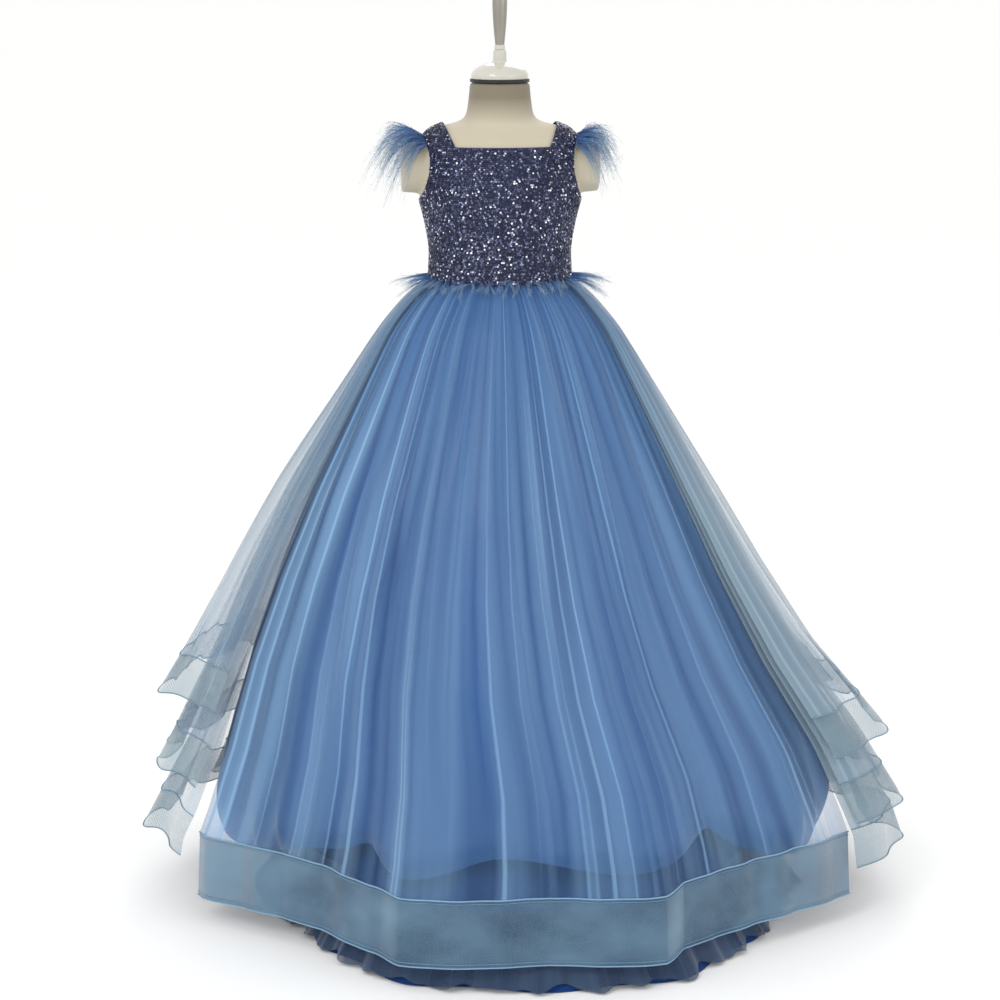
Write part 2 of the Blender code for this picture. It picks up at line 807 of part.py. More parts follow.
def armhole_roots(side):
    """Along the strap's outer edge, over the shoulder from the front to the back."""
    roots = []
    for k in range(ARMHOLE_CELLS + 1):
        turn = math.radians(ARMHOLE_TRIM_HALF_TURN * (2 * k / ARMHOLE_CELLS - 1))
        spoke = Vector((0, math.sin(turn), math.cos(turn)))
        edge = Vector((0, 0, ARMHOLE_Z)) + spoke * ARMHOLE_RADIUS
        out = bodice_side_x(edge.y, edge.z) + STRIP_THICK + 2 * SEAM
        middle = edge + spoke * STRIP_CELL + Vector((side * out, 0, 0))
        roots.append((middle, Vector((side, 0, 0)), side * spoke))
    return roots


def armhole_strand(side, roots, reach, i, row):
    """Ostrich strands stand out over the shoulder and droop, and hang past it at both ends."""
    root = (roots[i][0] + roots[i + 1][0]) / 2
    fan = root.y / (ARMHOLE_RADIUS * math.sin(math.radians(ARMHOLE_TRIM_HALF_TURN)))
    a, b, c = scatter(i, row, side), scatter(row + 2, i, side), scatter(i, side, row + 5)
    low_row = row == (0 if side > 0 else 1)
    rise = 0.80 - 0.62 * abs(fan) - 0.32 * low_row + 0.10 * a
    first = Vector((side * (0.95 - 0.25 * abs(fan)), 0.75 * fan + 0.10 * b, rise)).normalized()
    last = Vector((side * (0.34 + 0.14 * c - 0.12 * abs(fan)), 0.22 * fan + 0.16 * a, -1)).normalized()
    out = reach * (0.62 + 0.06 * b - 0.16 * abs(fan))
    fall = reach * (0.66 + 0.20 * c + 0.06 * abs(fan))
    return arc(root, first * out, last * fall, (0.22, 0.62, 1.0)), (0.0008, 0.0006)


def waist_roots():
    """Round the waist seam, on the bodice's lower edge."""
    z = WAIST_Z + STRIP_CELL + 0.0010
    width = at_height(BODICE_SECTIONS, z, 1) + STRIP_THICK + 0.0004
    depth = at_height(BODICE_SECTIONS, z, 2) + STRIP_THICK + 0.0004
    roots = []
    for k in range(WAIST_CELLS):
        turn = 2 * math.pi * k / WAIST_CELLS
        outward = Vector((math.sin(turn) / width, -math.cos(turn) / depth, 0)).normalized()
        middle = Vector((width * math.sin(turn), -depth * math.cos(turn), z))
        roots.append((middle, outward, Vector((0, 0, 1))))
    return roots


def waist_strand(roots, i, row):
    """Short curled strands, longer over the hips."""
    if row == 0 and i % 2:
        return None
    middle, outward, across = roots[i]
    root = (middle + roots[(i + 1) % len(roots)][0]) / 2 + across * STRIP_CELL * (row - 0.5)
    a, b, c = scatter(i, row, 3), scatter(row, i, 7), scatter(i, 11, row)
    along = Vector((-outward.y, outward.x, 0))
    first = (outward + along * 0.30 * a + across * (0.30 * row - 0.18)).normalized()
    last = (outward + along * 0.55 * c + across * (0.30 * row + 0.20 * b - 0.80)).normalized()
    tuft = HIP_TUFT_RIGHT if outward.x > 0 else HIP_TUFT_LEFT
    length = 0.008 + 0.002 * b + (tuft + 0.004 * c) * smooth_step(abs(outward.x), 0.70, 0.98)
    return arc(root, first * length, last * length, (0.5, 1.0)), (0.0007,)


def build_feathers(materials):
    for name, side, reach in ARMHOLE_STRANDS:
        roots = armhole_roots(side)
        feather_trim(
            f"armhole_feathers_{name}",
            roots,
            False,
            lambda i, row, made=(side, roots, reach): armhole_strand(*made, i, row),
            materials["feather"],
        )
    roots = waist_roots()
    feather_trim(
        "waist_feathers",
        roots,
        True,
        lambda i, row: waist_strand(roots, i, row),
        materials["feather"],
    )


def main():
    for leftover in list(bpy.data.objects):
        bpy.data.objects.remove(leftover)
    materials = {
        "sequins": plain_material("sequinned mesh", (0.045, 0.055, 0.12), 0.35, 0.3),
        "satin": plain_material("duchess satin", (0.10, 0.24, 0.50), 0.35),
        "net": plain_material("soft net", (0.30, 0.42, 0.52), 0.8),
        "braid": plain_material("crin braid", (0.16, 0.28, 0.40), 0.6),
        "petticoat": plain_material("petticoat taffeta", (0.03, 0.06, 0.13), 0.7),
        "feather": plain_material("ostrich feather", (0.12, 0.24, 0.42), 0.9),
        "tape": plain_material("zip tape", (0.05, 0.07, 0.14), 0.8),
        "zip_metal": plain_material("nickel plate", (0.55, 0.56, 0.58), 0.3, 1.0),
        "form": plain_material("cream jersey", (0.74, 0.69, 0.56), 0.8),
        "gloss": plain_material("white enamel", (0.80, 0.80, 0.76), 0.2),
        "black": plain_material("black rubber", (0.01, 0.01, 0.01), 0.5),
        "steel": plain_material("brushed steel", (0.42, 0.41, 0.38), 0.35, 0.9),
    }
    build_form(materials)
    build_bodice(materials)
    build_zip(materials)
    build_skirts(materials)
    build_feathers(materials)


main()
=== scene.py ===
"""A child's floor-length princess dress, standing on a limbless dress form.

Metres, +Z up, the front of the dress towards -Y. A bearing is an angle round the pole in degrees:
0 is the front, 90 is +X, 180 is the back. Each skirt layer repeats its solid's own shape, with the
finer gathers, creases and edgings that the cloth has.
"""

import math
import random

import bpy
import numpy as np
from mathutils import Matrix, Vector


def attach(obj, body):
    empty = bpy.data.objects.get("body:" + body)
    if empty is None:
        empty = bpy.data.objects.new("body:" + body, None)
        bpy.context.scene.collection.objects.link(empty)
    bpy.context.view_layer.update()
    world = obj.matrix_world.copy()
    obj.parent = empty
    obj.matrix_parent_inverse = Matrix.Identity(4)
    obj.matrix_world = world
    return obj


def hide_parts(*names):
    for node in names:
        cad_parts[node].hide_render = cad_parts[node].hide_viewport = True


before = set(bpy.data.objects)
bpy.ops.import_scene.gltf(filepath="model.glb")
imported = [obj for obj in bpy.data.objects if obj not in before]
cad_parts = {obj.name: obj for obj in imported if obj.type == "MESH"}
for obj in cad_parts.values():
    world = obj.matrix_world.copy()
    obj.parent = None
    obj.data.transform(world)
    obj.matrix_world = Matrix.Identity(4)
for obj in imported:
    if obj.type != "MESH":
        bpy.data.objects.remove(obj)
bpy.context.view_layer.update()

# The dress, measured as it stands
WAIST_Z = 0.850
WAIST_HALF_WIDTH = 0.0875
WAIST_HALF_DEPTH = 0.0668
LAYER_STEP = 0.0015
LEAN = (  # height, how far the skirt's middle stands to the right
    (0.000, 0.035),
    (0.155, 0.035),
    (0.242, 0.030),
    (0.354, 0.012),
    (0.466, 0.003),
    (0.577, 0.000),
    (0.850, 0.000),
)
PETTICOAT_HEM = (  # bearing, radius
    (0, 0.388),
    (22, 0.400),
    (42, 0.376),
    (64, 0.356),
    (90, 0.375),
    (135, 0.375),
    (180, 0.380),
    (225, 0.375),
    (270, 0.370),
    (295, 0.342),
    (333, 0.392),
)
SATIN_HEM = (  # bearing, radius
    (0, 0.343),
    (21, 0.345),
    (30, 0.340),
    (37, 0.336),
    (50, 0.346),
    (60, 0.374),
    (68, 0.402),
    (76, 0.428),
    (90, 0.425),
    (110, 0.430),
    (135, 0.420),
    (180, 0.410),
    (225, 0.420),
    (250, 0.430),
    (270, 0.425),
    (284, 0.412),
    (292, 0.378),
    (300, 0.350),
    (310, 0.335),
    (326, 0.346),
    (340, 0.345),
)
PANEL_HEM = (  # bearing, radius
    (0, 0.379),
    (21, 0.412),
    (28, 0.378),
    (37, 0.372),
    (47, 0.379),
    (57, 0.402),
    (66, 0.436),
    (76, 0.478),
    (90, 0.500),
    (180, 0.460),
    (270, 0.480),
    (284, 0.455),
    (292, 0.412),
    (300, 0.383),
    (310, 0.369),
    (326, 0.388),
    (333, 0.412),
)
# Height, and the share of the way from the waist to the hem's outline, for the three inner layers
PETTICOAT_SPREAD = (
    (0.000, 1.00), (0.060, 0.84), (0.155, 0.66), (0.577, 0.30), (0.795, 0.085), (0.850, 0.0)
)
SATIN_SPREAD = (
    (0.155, 1.00), (0.242, 0.923), (0.354, 0.770), (0.577, 0.474), (0.795, 0.138), (0.850, 0.0)
)
PANEL_SPREAD = (
    (0.035, 1.00),
    (0.122, 0.985),
    (0.242, 0.855),
    (0.354, 0.715),
    (0.577, 0.440),
    (0.795, 0.140),
    (0.838, 0.045),
    (0.850, 0.00),
)
TIER_SIDE = (  # height, radius at the side of the long, middle and short tier
    (0.060, 0.490, 0.520, 0.560),
    (0.155, 0.458, 0.482, 0.530),
    (0.242, 0.420, 0.442, 0.481),
    (0.354, 0.364, 0.380, 0.412),
    (0.577, 0.264, 0.274, 0.285),
    (0.795, 0.1445, 0.1475, 0.1505),
    (0.838, 0.1130, 0.1150, 0.1170),
    (0.850, 0.0920, 0.0935, 0.0950),
)
# The share of that radius at a bearing, and how far the tiers lie off the panel at a height
TIER_LEFT_RIGHT = ((0, 1.00), (90, 0.99), (135, 1.01), (180, 1.02), (225, 1.02), (270, 1.05))
TIER_LIFT = (
    (0.060, 0.024),
    (0.155, 0.018),
    (0.354, 0.012),
    (0.577, 0.006),
    (0.795, 0.002),
    (0.838, 0.0006),
    (0.850, 0.000),
)
PANEL_EDGES = (-78.0, 70.0)
PANEL_WAVES = 17
TIER_EDGES = (68.0, 284.0)
TIER_LEAVES_PANEL = (77.0, 93.0)
TIER_WAVES_START = 64.0
TIER_WINDS_FULLY = 100.0
# Height, and the depth of a layer's folds there
PETTICOAT_FOLDS = ((0.0, 0.016), (0.06, 0.010), (0.155, 0.006), (0.577, 0.003), (0.795, 0.0))
SATIN_FOLDS = (
    (0.155, 0.026), (0.242, 0.020), (0.354, 0.012), (0.577, 0.006), (0.795, 0.001), (0.84, 0.0)
)
PANEL_FOLDS = (
    (0.035, 0.001), (0.122, 0.002), (0.242, 0.004), (0.577, 0.0036), (0.795, 0.0015), (0.85, 0.0)
)
LONG_TIER_FOLDS = (
    (0.06, 0.036), (0.155, 0.020), (0.242, 0.009), (0.354, 0.005), (0.577, 0.002), (0.795, 0.0)
)
MIDDLE_TIER_FOLDS = ((0.155, 0.026), (0.242, 0.014), (0.354, 0.006), (0.577, 0.002), (0.795, 0.0))
SHORT_TIER_FOLDS = ((0.200, 0.026), (0.290, 0.018), (0.354, 0.010), (0.577, 0.003), (0.795, 0.0))
PETTICOAT_HEM_Z = 0.001
RUFFLE_TOP = 0.085
PANEL_BAND_TOP = 0.122
PANEL_BAND_BOTTOM = 0.035
TIER_BAND_DROP = 0.052
SATIN_HEM_Z = 0.137
SATIN_HEM_RISE = 0.018
SATIN_SIDE_DROP = 0.031
SATIN_DROP_STARTS = (44.0, 56.0)
SATIN_TURN = 0.018
TIER_HEM_Z = {  # at the left, at the back and at the right
    "long": (0.098, 0.085, 0.078),
    "middle": (0.190, 0.170, 0.140),
    "short": (0.290, 0.270, 0.228),
}
BODICE_SECTIONS = (  # height, half width, half depth, middle's offset to the back
    (0.8400, 0.0955, 0.0745, 0.000),
    (0.8650, 0.0940, 0.0733, 0.000),
    (0.8950, 0.0935, 0.0738, 0.000),
    (0.9320, 0.1000, 0.0780, -0.001),
    (0.9600, 0.1070, 0.0812, -0.002),
    (0.9850, 0.1085, 0.0810, -0.002),
    (1.0120, 0.1080, 0.0765, 0.000),
    (1.0340, 0.1040, 0.0665, 0.002),
    (1.0460, 0.0950, 0.0560, 0.003),
    (1.0540, 0.0800, 0.0500, 0.003),
    (1.0590, 0.0600, 0.0480, 0.003),
    (1.0620, 0.0490, 0.0465, 0.003),
)
BODICE_WALL = 0.0012
BODICE_BOTTOM = 0.8503
NECKLINE_Z = 1.028
NECKLINE_HALF_WIDTH = 0.0616
NECKLINE_HALF_WIDTH_AT_TOP = 0.0850
NECKLINE_TOP = 1.080
PANEL_GAP = 0.0003
BODY_SIDES = 96
CUT_BELOW = 0.7
CUT_ABOVE = 1.2
ARMHOLE_Z = 0.997
ARMHOLE_RADIUS = 0.0405
ZIP_HALF_WIDTH = 0.0035
ZIP_TOP = 1.022
COIL_BOTTOM = 0.853
COIL_STEP = 0.0019
COIL_LOOPS = 88
COIL_HALF = 0.0005
SEQUIN_RADIUS = 0.00140
SEQUIN_ROW_STEP = 0.0025
SEQUIN_COLUMNS = 224
SEQUIN_MARGIN = 0.0008
FORM_SECTIONS = (  # height, half width, half depth, middle's offset to the back
    (0.7000, 0.0960, 0.0820, 0.000),
    (0.7800, 0.0930, 0.0770, 0.000),
    (0.8500, 0.0840, 0.0630, 0.000),
    (0.8950, 0.0870, 0.0670, 0.000),
    (0.9320, 0.0970, 0.0750, -0.001),
    (0.9600, 0.1044, 0.0786, -0.002),
    (0.9850, 0.1059, 0.0784, -0.002),
    (1.0120, 0.1054, 0.0739, 0.000),
    (1.0330, 0.1015, 0.0640, 0.002),
    (1.0445, 0.0925, 0.0535, 0.003),
    (1.0515, 0.0775, 0.0475, 0.003),
    (1.0562, 0.0580, 0.0455, 0.003),
    (1.0640, 0.0455, 0.0440, 0.003),
    (1.0850, 0.0412, 0.0412, 0.003),
    (1.1080, 0.0390, 0.0390, 0.003),
)
STUB_REACH = 0.130
STUB_START = 0.07
STUB_RADIUS = 0.0355
STUB_END_RADIUS = 0.0310
NECK_Y = 0.003
NECK_SEAM_Z = 1.060
STRIP_THICK = 0.0012
STRIP_CELL = 0.0026
BARB_WIDTH = 0.00034
ARMHOLE_CELLS = 20
ARMHOLE_TRIM_HALF_TURN = 44
ARMHOLE_STRANDS = (("left", -1, 0.082), ("right", 1, 0.069))  # name, side, how far they reach
HIP_TUFT_LEFT = 0.012
HIP_TUFT_RIGHT = 0.019
WAIST_CELLS = 50


def at_height(table, height, column=1):
    """A table's value at a height, on straight lines between its rows."""
    rows = np.array(sorted(table))
    return np.interp(height, rows[:, 0], rows[:, column])


def at_bearing(table, bearing):
    """A table's value at a bearing, on a closed curve that eases in and out at its rows."""
    rows = np.array(sorted(table))
    angles = np.append(rows[:, 0], 360.0)
    values = np.append(rows[:, 1], rows[0, 1])
    bearing = np.mod(bearing, 360.0)
    k = np.clip(np.searchsorted(angles, bearing, side="right") - 1, 0, len(rows) - 1)
    share = (bearing - angles[k]) / (angles[k + 1] - angles[k])
    share = 0.5 * share + 0.5 * share**2 * (3 - 2 * share)
    return values[k] + share * (values[k + 1] - values[k])


def smooth_step(value, low, high):
    """0 below low, 1 above high, and an eased rise between them."""
    share = np.clip((value - low) / (high - low), 0.0, 1.0)
    return share * share * (3 - 2 * share)


def signed(bearing):
    """A bearing from -180 to 180, positive to the right of the front."""
    return (bearing + 180.0) % 360.0 - 180.0


def waist_radius(bearing, stack):
    """The waist seam's oval, a step wider for each layer that lies under this one."""
    turn = np.radians(bearing)
    width = WAIST_HALF_WIDTH + stack * LAYER_STEP
    depth = WAIST_HALF_DEPTH + stack * LAYER_STEP
    return 1.0 / np.hypot(np.sin(turn) / width, np.cos(turn) / depth)


def spread_radius(hem, spread, stack, bearing, height):
    """The radius of a layer between the waist seam and its hem's outline, without its folds."""
    waist = waist_radius(bearing, stack)
    return waist + (at_bearing(hem, bearing) - waist) * at_height(spread, height)


def petticoat_radius(bearing, height, phase):
    base = spread_radius(PETTICOAT_HEM, PETTICOAT_SPREAD, 0, bearing, height)
    return base + at_height(PETTICOAT_FOLDS, height) * (np.cos(phase) - 1) / 2


def satin_radius(bearing, height, phase):
    base = spread_radius(SATIN_HEM, SATIN_SPREAD, 1, bearing, height)
    return base + at_height(SATIN_FOLDS, height) * (np.cos(phase) - 1) / 2


def panel_base(bearing, height, stack):
    return spread_radius(PANEL_HEM, PANEL_SPREAD, stack, bearing, height)


def panel_radius(bearing, height, phase):
    return panel_base(bearing, height, 2) + at_height(PANEL_FOLDS, height) * (1 + np.cos(phase)) / 2


def tier_radius(order, folds):
    """The radius of one of the three tiers, as a function. It lies on the panel near the panel's
    edges, and swings free of it at the sides and the back."""

    def radius(bearing, height, phase):
        stack = 2 + order
        off_centre = np.abs(signed(bearing))
        on_panel = panel_base(bearing, height, stack)
        on_panel = on_panel + (0.3 + 0.7 * order) * at_height(TIER_LIFT, height)
        waist = waist_radius(bearing, stack)
        side = at_height(TIER_SIDE, height, order) - waist_radius(90, stack)
        free = waist + side * at_bearing(TIER_LEFT_RIGHT, bearing)
        swing = smooth_step(off_centre, *TIER_LEAVES_PANEL)
        edge = smooth_step(off_centre, TIER_WAVES_START, TIER_LEAVES_PANEL[1])
        wave = at_height(folds, height) * edge * (1 + np.cos(phase)) / 2
        return on_panel + (free - on_panel) * swing + wave

    return radius


def tier_hem_height(name, bearing):
    """The hem of a tier, which eases from its height at each side to its height at the back."""
    left, back, right = TIER_HEM_Z[name]
    side = signed(bearing)
    edge = np.where(side > 0, right, left)
    return edge + (back - edge) * smooth_step(np.abs(side), 90, 180)


def colour(code):
    """An sRGB hex colour as linear RGB, with an alpha of 1."""
    parts = [int(code[k : k + 2], 16) / 255 for k in (1, 3, 5)]
    return (*[p / 12.92 if p <= 0.04045 else ((p + 0.055) / 1.055) ** 2.4 for p in parts], 1.0)


def add_node(tree, kind, settings):
    """Adds a node. settings are its sockets, by name or number, and its own options. A socket is
    given a value, or the output that feeds it."""
    node = tree.nodes.new(kind)
    for key, value in settings.items():
        if isinstance(value, bpy.types.NodeSocket):
            tree.links.new(value, node.inputs[key])
        elif isinstance(key, int) or key in node.inputs:
            node.inputs[key].default_value = value
        else:
            setattr(node, key, value)
    return node


def new_material(name, base, roughness, **sockets):
    """A material with its shader's sockets set, each named with underscores for spaces."""
    material = bpy.data.materials.new(name)
    material.use_nodes = True
    tree = material.node_tree
    shader = tree.nodes["Principled BSDF"]
    shader.inputs["Base Color"].default_value = colour(base)
    shader.inputs["Roughness"].default_value = roughness
    for key, value in sockets.items():
        shader.inputs[key.replace("_", " ")].default_value = value
    return material, tree, shader


def streaks(tree, where, across, down, detail):
    """Unevenness drawn out along the cloth, so many times in a metre across and down it."""
    place = add_node(tree, "ShaderNodeMapping", {"Scale": (across, down, 1), "Vector": where})
    settings = {"Scale": 1, "Detail": detail, "Vector": place.outputs[0]}
    return add_node(tree, "ShaderNodeTexNoise", settings).outputs["Fac"]


def plus_shares(tree, total, *parts):
    """A total with a share of each part added to it. parts are (output, share)."""
    for part, share in parts:
        settings = {"operation": "MULTIPLY_ADD", 0: part, 1: share, 2: total}
        total = add_node(tree, "ShaderNodeMath", settings).outputs[0]
    return total


def soft_net(name, deep, light, thin, thick, crisp):
    """Soft nylon net: matt and sheer, cloudier where its gathers double up and where a fold turns
    edge-on. Its colour is deeper near the waist, as painted shade in the close gathers there, and where
    the panel meets the tiers, and paler along its fold lines, as a painted sheen. thin and thick are the
    least and the most that its gathers cover, and crisp is how much its fold lines show, in cover and in
    painted sheen."""
    material, tree, shader = new_material(name, light, 0.75, Sheen_Weight=0.25, Sheen_Roughness=0.5)
    where = add_node(tree, "ShaderNodeTexCoord", {}).outputs["UV"]
    steep, rim = (
        add_node(tree, "ShaderNodeAttribute", {"attribute_name": attribute}).outputs["Fac"]
        for attribute in ("steep", "rim")
    )
    # Gathers about 60 mm and 28 mm wide, and single fold lines about 12 mm apart
    gathers_seen = plus_shares(
        tree, streaks(tree, where, 16, 0.8, 2), (streaks(tree, where, 36, 0.7, 2), 0.5)
    )
    cover = add_node(
        tree,
        "ShaderNodeMapRange",
        {"Value": gathers_seen, "From Min": 0.58, "From Max": 0.92, "To Min": thin, "To Max": thick},
    ).outputs[0]
    fold_lines = streaks(tree, where, 85, 0.30, 0)
    lines = add_node(
        tree,
        "ShaderNodeMapRange",
        {"Value": fold_lines, "From Min": 0.62, "From Max": 0.72, "To Min": 0, "To Max": crisp},
    ).outputs[0]
    # Gathers lie close together in the first third of a metre below the waist seam: the net is cloudier
    # there, and its colour deepens there as painted shade in those gathers
    down = add_node(tree, "ShaderNodeSeparateXYZ", {0: where}).outputs["Y"]
    close_gathers_and_shade = add_node(
        tree,
        "ShaderNodeMapRange",
        {"Value": down, "From Min": -0.34, "From Max": -0.01, "To Min": 0, "To Max": 1},
    ).outputs[0]
    cover = plus_shares(tree, cover, (lines, 1), (steep, crisp), (close_gathers_and_shade, 0.22), (rim, 0.16))
    cover = add_node(tree, "ShaderNodeMath", {"operation": "MINIMUM", 0: cover, 1: 0.9}).outputs[0]
    # Painted shade: the net's tone drops near the waist, for the shade in its close gathers
    tone = plus_shares(tree, gathers_seen, (close_gathers_and_shade, -0.55), (rim, -0.12))
    tone = add_node(tree, "ShaderNodeMath", {"operation": "MAXIMUM", 0: tone, 1: 0}).outputs[0]
    # Painted sheen: the fold lines are drawn paler as well as denser, for the sheen of net that turns
    # edge-on
    pale = plus_shares(tree, tone, (lines, 0.6))
    mixed = {"data_type": "RGBA", 0: pale, 6: colour(deep), 7: colour(light)}
    tree.links.new(cover, shader.inputs["Alpha"])
    tree.links.new(add_node(tree, "ShaderNodeMix", mixed).outputs[2], shader.inputs["Base Color"])
    return material


WAVE_LENGTH = 0.314  # in metres, of a wave texture whose scale is 1
CRIN_MESH = 0.003


def crin_braid(name, deep, light, open_share, edge_gain):
    """Crin, a stiff braid of nylon monofilament: a fine diagonal mesh with a slight shine, denser to the
    eye where a fold turns edge-on, and drawn paler there as a painted highlight. open_share is how much
    more of it is open, and edge_gain how much denser its folds look and how much painted highlight they
    get."""
    material, tree, shader = new_material(name, light, 0.42, Sheen_Weight=0.2)
    where = add_node(tree, "ShaderNodeTexCoord", {}).outputs["UV"]
    crossed = 0
    for turn in (45, -45):
        # The filaments lie 1.2 mm apart, which is too fine to show, so they are drawn 3 mm apart
        place = add_node(
            tree, "ShaderNodeMapping", {"Rotation": (0, 0, math.radians(turn)), "Vector": where}
        )
        wave = {"Scale": WAVE_LENGTH / CRIN_MESH, "Distortion": 1.2, "Detail": 1.0, "Detail Scale": 2.0}
        wave["Vector"] = place.outputs[0]
        filaments = add_node(tree, "ShaderNodeTexWave", wave).outputs["Fac"]
        settings = {"operation": "MAXIMUM", 0: crossed, 1: filaments}
        crossed = add_node(tree, "ShaderNodeMath", settings).outputs[0]
    clouds = streaks(tree, where, 9, 14, 3)
    steep = add_node(tree, "ShaderNodeAttribute", {"attribute_name": "steep"}).outputs["Fac"]
    cover, cloudy, edge_on_and_highlight = (
        add_node(
            tree,
            "ShaderNodeMapRange",
            {"Value": value, "From Min": low, "From Max": high, "To Min": least, "To Max": most},
        ).outputs[0]
        for value, low, high, least, most in (
            (crossed, 0.3, 1.0, 0.66 - open_share, 0.84 - open_share),
            (clouds, 0.3, 0.7, -0.08, 0.12),
            (steep, 0.35, 0.80, 0, edge_gain),
        )
    )
    cover = plus_shares(tree, cover, (cloudy, 1), (edge_on_and_highlight, 1))
    # Painted highlight: the tone rises where a fold turns edge-on
    tone = plus_shares(tree, clouds, (edge_on_and_highlight, 1))
    mixed = {"data_type": "RGBA", 0: tone, 6: colour(deep), 7: colour(light)}
    bump = add_node(tree, "ShaderNodeBump", {"Strength": 0.2, "Distance": 0.0005, "Height": crossed})
    tree.links.new(cover, shader.inputs["Alpha"])
    tree.links.new(add_node(tree, "ShaderNodeMix", mixed).outputs[2], shader.inputs["Base Color"])
    tree.links.new(bump.outputs[0], shader.inputs["Normal"])
    return material


def woven(name, base, roughness, creases, low, high, **sockets):
    """A woven cloth with soft creases, whose colour runs from low in their hollows to high on their
    ridges as painted shade and light. creases are how many lie in a metre across and down.
    """
    material, tree, shader = new_material(name, base, roughness, **sockets)
    where = add_node(tree, "ShaderNodeTexCoord", {}).outputs["UV"]
    crease_height_and_shade = streaks(tree, where, *creases, 4)
    # Painted shade and light: the colour follows the creases' height, darker in their hollows and lighter
    # on their ridges
    mixed = {"data_type": "RGBA", 0: crease_height_and_shade, 6: colour(low), 7: colour(high)}
    bump = add_node(tree, "ShaderNodeBump", {"Strength": 0.6, "Distance": 0.003, "Height": crease_height_and_shade})
    tree.links.new(add_node(tree, "ShaderNodeMix", mixed).outputs[2], shader.inputs["Base Color"])
    tree.links.new(bump.outputs[0], shader.inputs["Normal"])
    return material


def ramped(name, attribute, stops, roughness, **sockets):
    """A finish whose colour follows a number that each point carries. stops are (number, colour)."""
    material, tree, shader = new_material(name, stops[0][1], roughness, **sockets)
    number = add_node(tree, "ShaderNodeAttribute", {"attribute_name": attribute})
    ramp = add_node(tree, "ShaderNodeValToRGB", {0: number.outputs["Fac"]})
    elements = ramp.color_ramp.elements
    while len(elements) < len(stops):
        elements.new(0.5)
    for element, (position, code) in zip(elements, stops):
        element.position = position
        element.color = colour(code)
    tree.links.new(ramp.outputs["Color"], shader.inputs["Base Color"])
    return material


def jersey():
    """Cotton jersey stretched over padding: a fine knit that is almost smooth. Its neck, above the neck
    seam, is drawn darker than the chest as painted shade under the cap."""
    material, tree, shader = new_material("cotton jersey", "#BDB49E", 0.85, Sheen_Weight=0.2)
    where = add_node(tree, "ShaderNodeTexCoord", {}).outputs["Object"]
    # Stitches about 0.7 mm apart, drawn at 1.6 mm so that they show
    knit = add_node(tree, "ShaderNodeTexVoronoi", {"Scale": 600, "Vector": where}).outputs["Distance"]
    uneven = add_node(tree, "ShaderNodeTexNoise", {"Scale": 9, "Detail": 2, "Vector": where})
    mixed = {"data_type": "RGBA", 0: uneven.outputs["Fac"], 6: colour("#B1A893"), 7: colour("#C1B9A4")}
    chest = add_node(tree, "ShaderNodeMix", mixed).outputs[2]
    # Painted shade under the cap: the colour darkens from just below the neck seam upwards
    height = add_node(tree, "ShaderNodeSeparateXYZ", {0: where}).outputs["Z"]
    rise = {"From Min": NECK_SEAM_Z - 0.004, "From Max": NECK_SEAM_Z + 0.030, "To Min": 0, "To Max": 1}
    neck = add_node(tree, "ShaderNodeMapRange", {"Value": height, **rise}).outputs[0]
    mixed = {"data_type": "RGBA", 0: neck, 6: chest, 7: colour("#79715F")}
    both = add_node(tree, "ShaderNodeMix", mixed)
    bump = add_node(tree, "ShaderNodeBump", {"Strength": 0.25, "Distance": 0.0004, "Height": knit})
    tree.links.new(both.outputs[2], shader.inputs["Base Color"])
    tree.links.new(bump.outputs[0], shader.inputs["Normal"])
    return material


def speckled(name, base, other, roughness, scale, **sockets):
    """A finish with a slight unevenness in its tone, so many times in a metre."""
    material, tree, shader = new_material(name, base, roughness, **sockets)
    where = add_node(tree, "ShaderNodeTexCoord", {}).outputs["Object"]
    made = add_node(tree, "ShaderNodeTexNoise", {"Scale": scale, "Detail": 3, "Vector": where})
    mixed = {"data_type": "RGBA", 0: made.outputs["Fac"], 6: colour(base), 7: colour(other)}
    tree.links.new(add_node(tree, "ShaderNodeMix", mixed).outputs[2], shader.inputs["Base Color"])
    return material


# The panel's net is bluer and thinner than the tiers'.
panel_net = soft_net(
    "soft nylon net over satin", "#2A609C", "#7FA7CC", thin=0.06, thick=0.33, crisp=0.30
)
tier_net = soft_net("soft nylon net", "#426C96", "#869DAB", thin=0.18, thick=0.42, crisp=0.24)
# A crisper, darker net for the ruffle, dense enough to look almost solid.
ruffle_net = soft_net("crisp nylon net", "#142A48", "#34506F", thin=0.45, thick=0.80, crisp=0.1)
# The panel's band is dense and blue, and the tiers' bands are greyer and let more light through.
front_crin = crin_braid("crin braid", "#284866", "#688CA4", open_share=0.08, edge_gain=0.26)
tier_crin = crin_braid(
    "crin braid on the tiers", "#4C6878", "#7F99A6", open_share=0.24, edge_gain=0.08
)
# Duchess satin: a smooth warp-faced weave, so a soft sheen that runs along the folds.
# Painted shade and light in its creases: the hollows in #0C3870, the ridges in #205A9B
satin = woven(
    "duchess satin", "#1A5290", 0.40, (9, 1.8), "#0C3870", "#205A9B",
    Sheen_Weight=0.2, Sheen_Roughness=0.35, Anisotropic=0.4,
)
# Polyester taffeta: a crisp plain weave, darker and drier than the satin, with hardly any shine.
# Painted shade and light in its creases: the hollows in #042250, the ridges in #0F3F80
petticoat_cloth = woven(
    "polyester taffeta", "#0A2F66", 0.60, (30, 12), "#042250", "#0F3F80",
    Sheen_Weight=0.05, Specular_IOR_Level=0.15,
)
# Sequins stamped from metallised film: navy to mauve grey, with the palest few painted near white as
# painted glints.
sequins = ramped(
    "metallised film",
    "tone",
    (
        (0.0, "#0A1022"), (0.35, "#1E2742"), (0.62, "#434660"), (0.84, "#6E7290"), (0.93, "#A9AECB"),
        (1.0, "#FFFFFF"),
    ),
    0.22,
    Metallic=0.5,
)
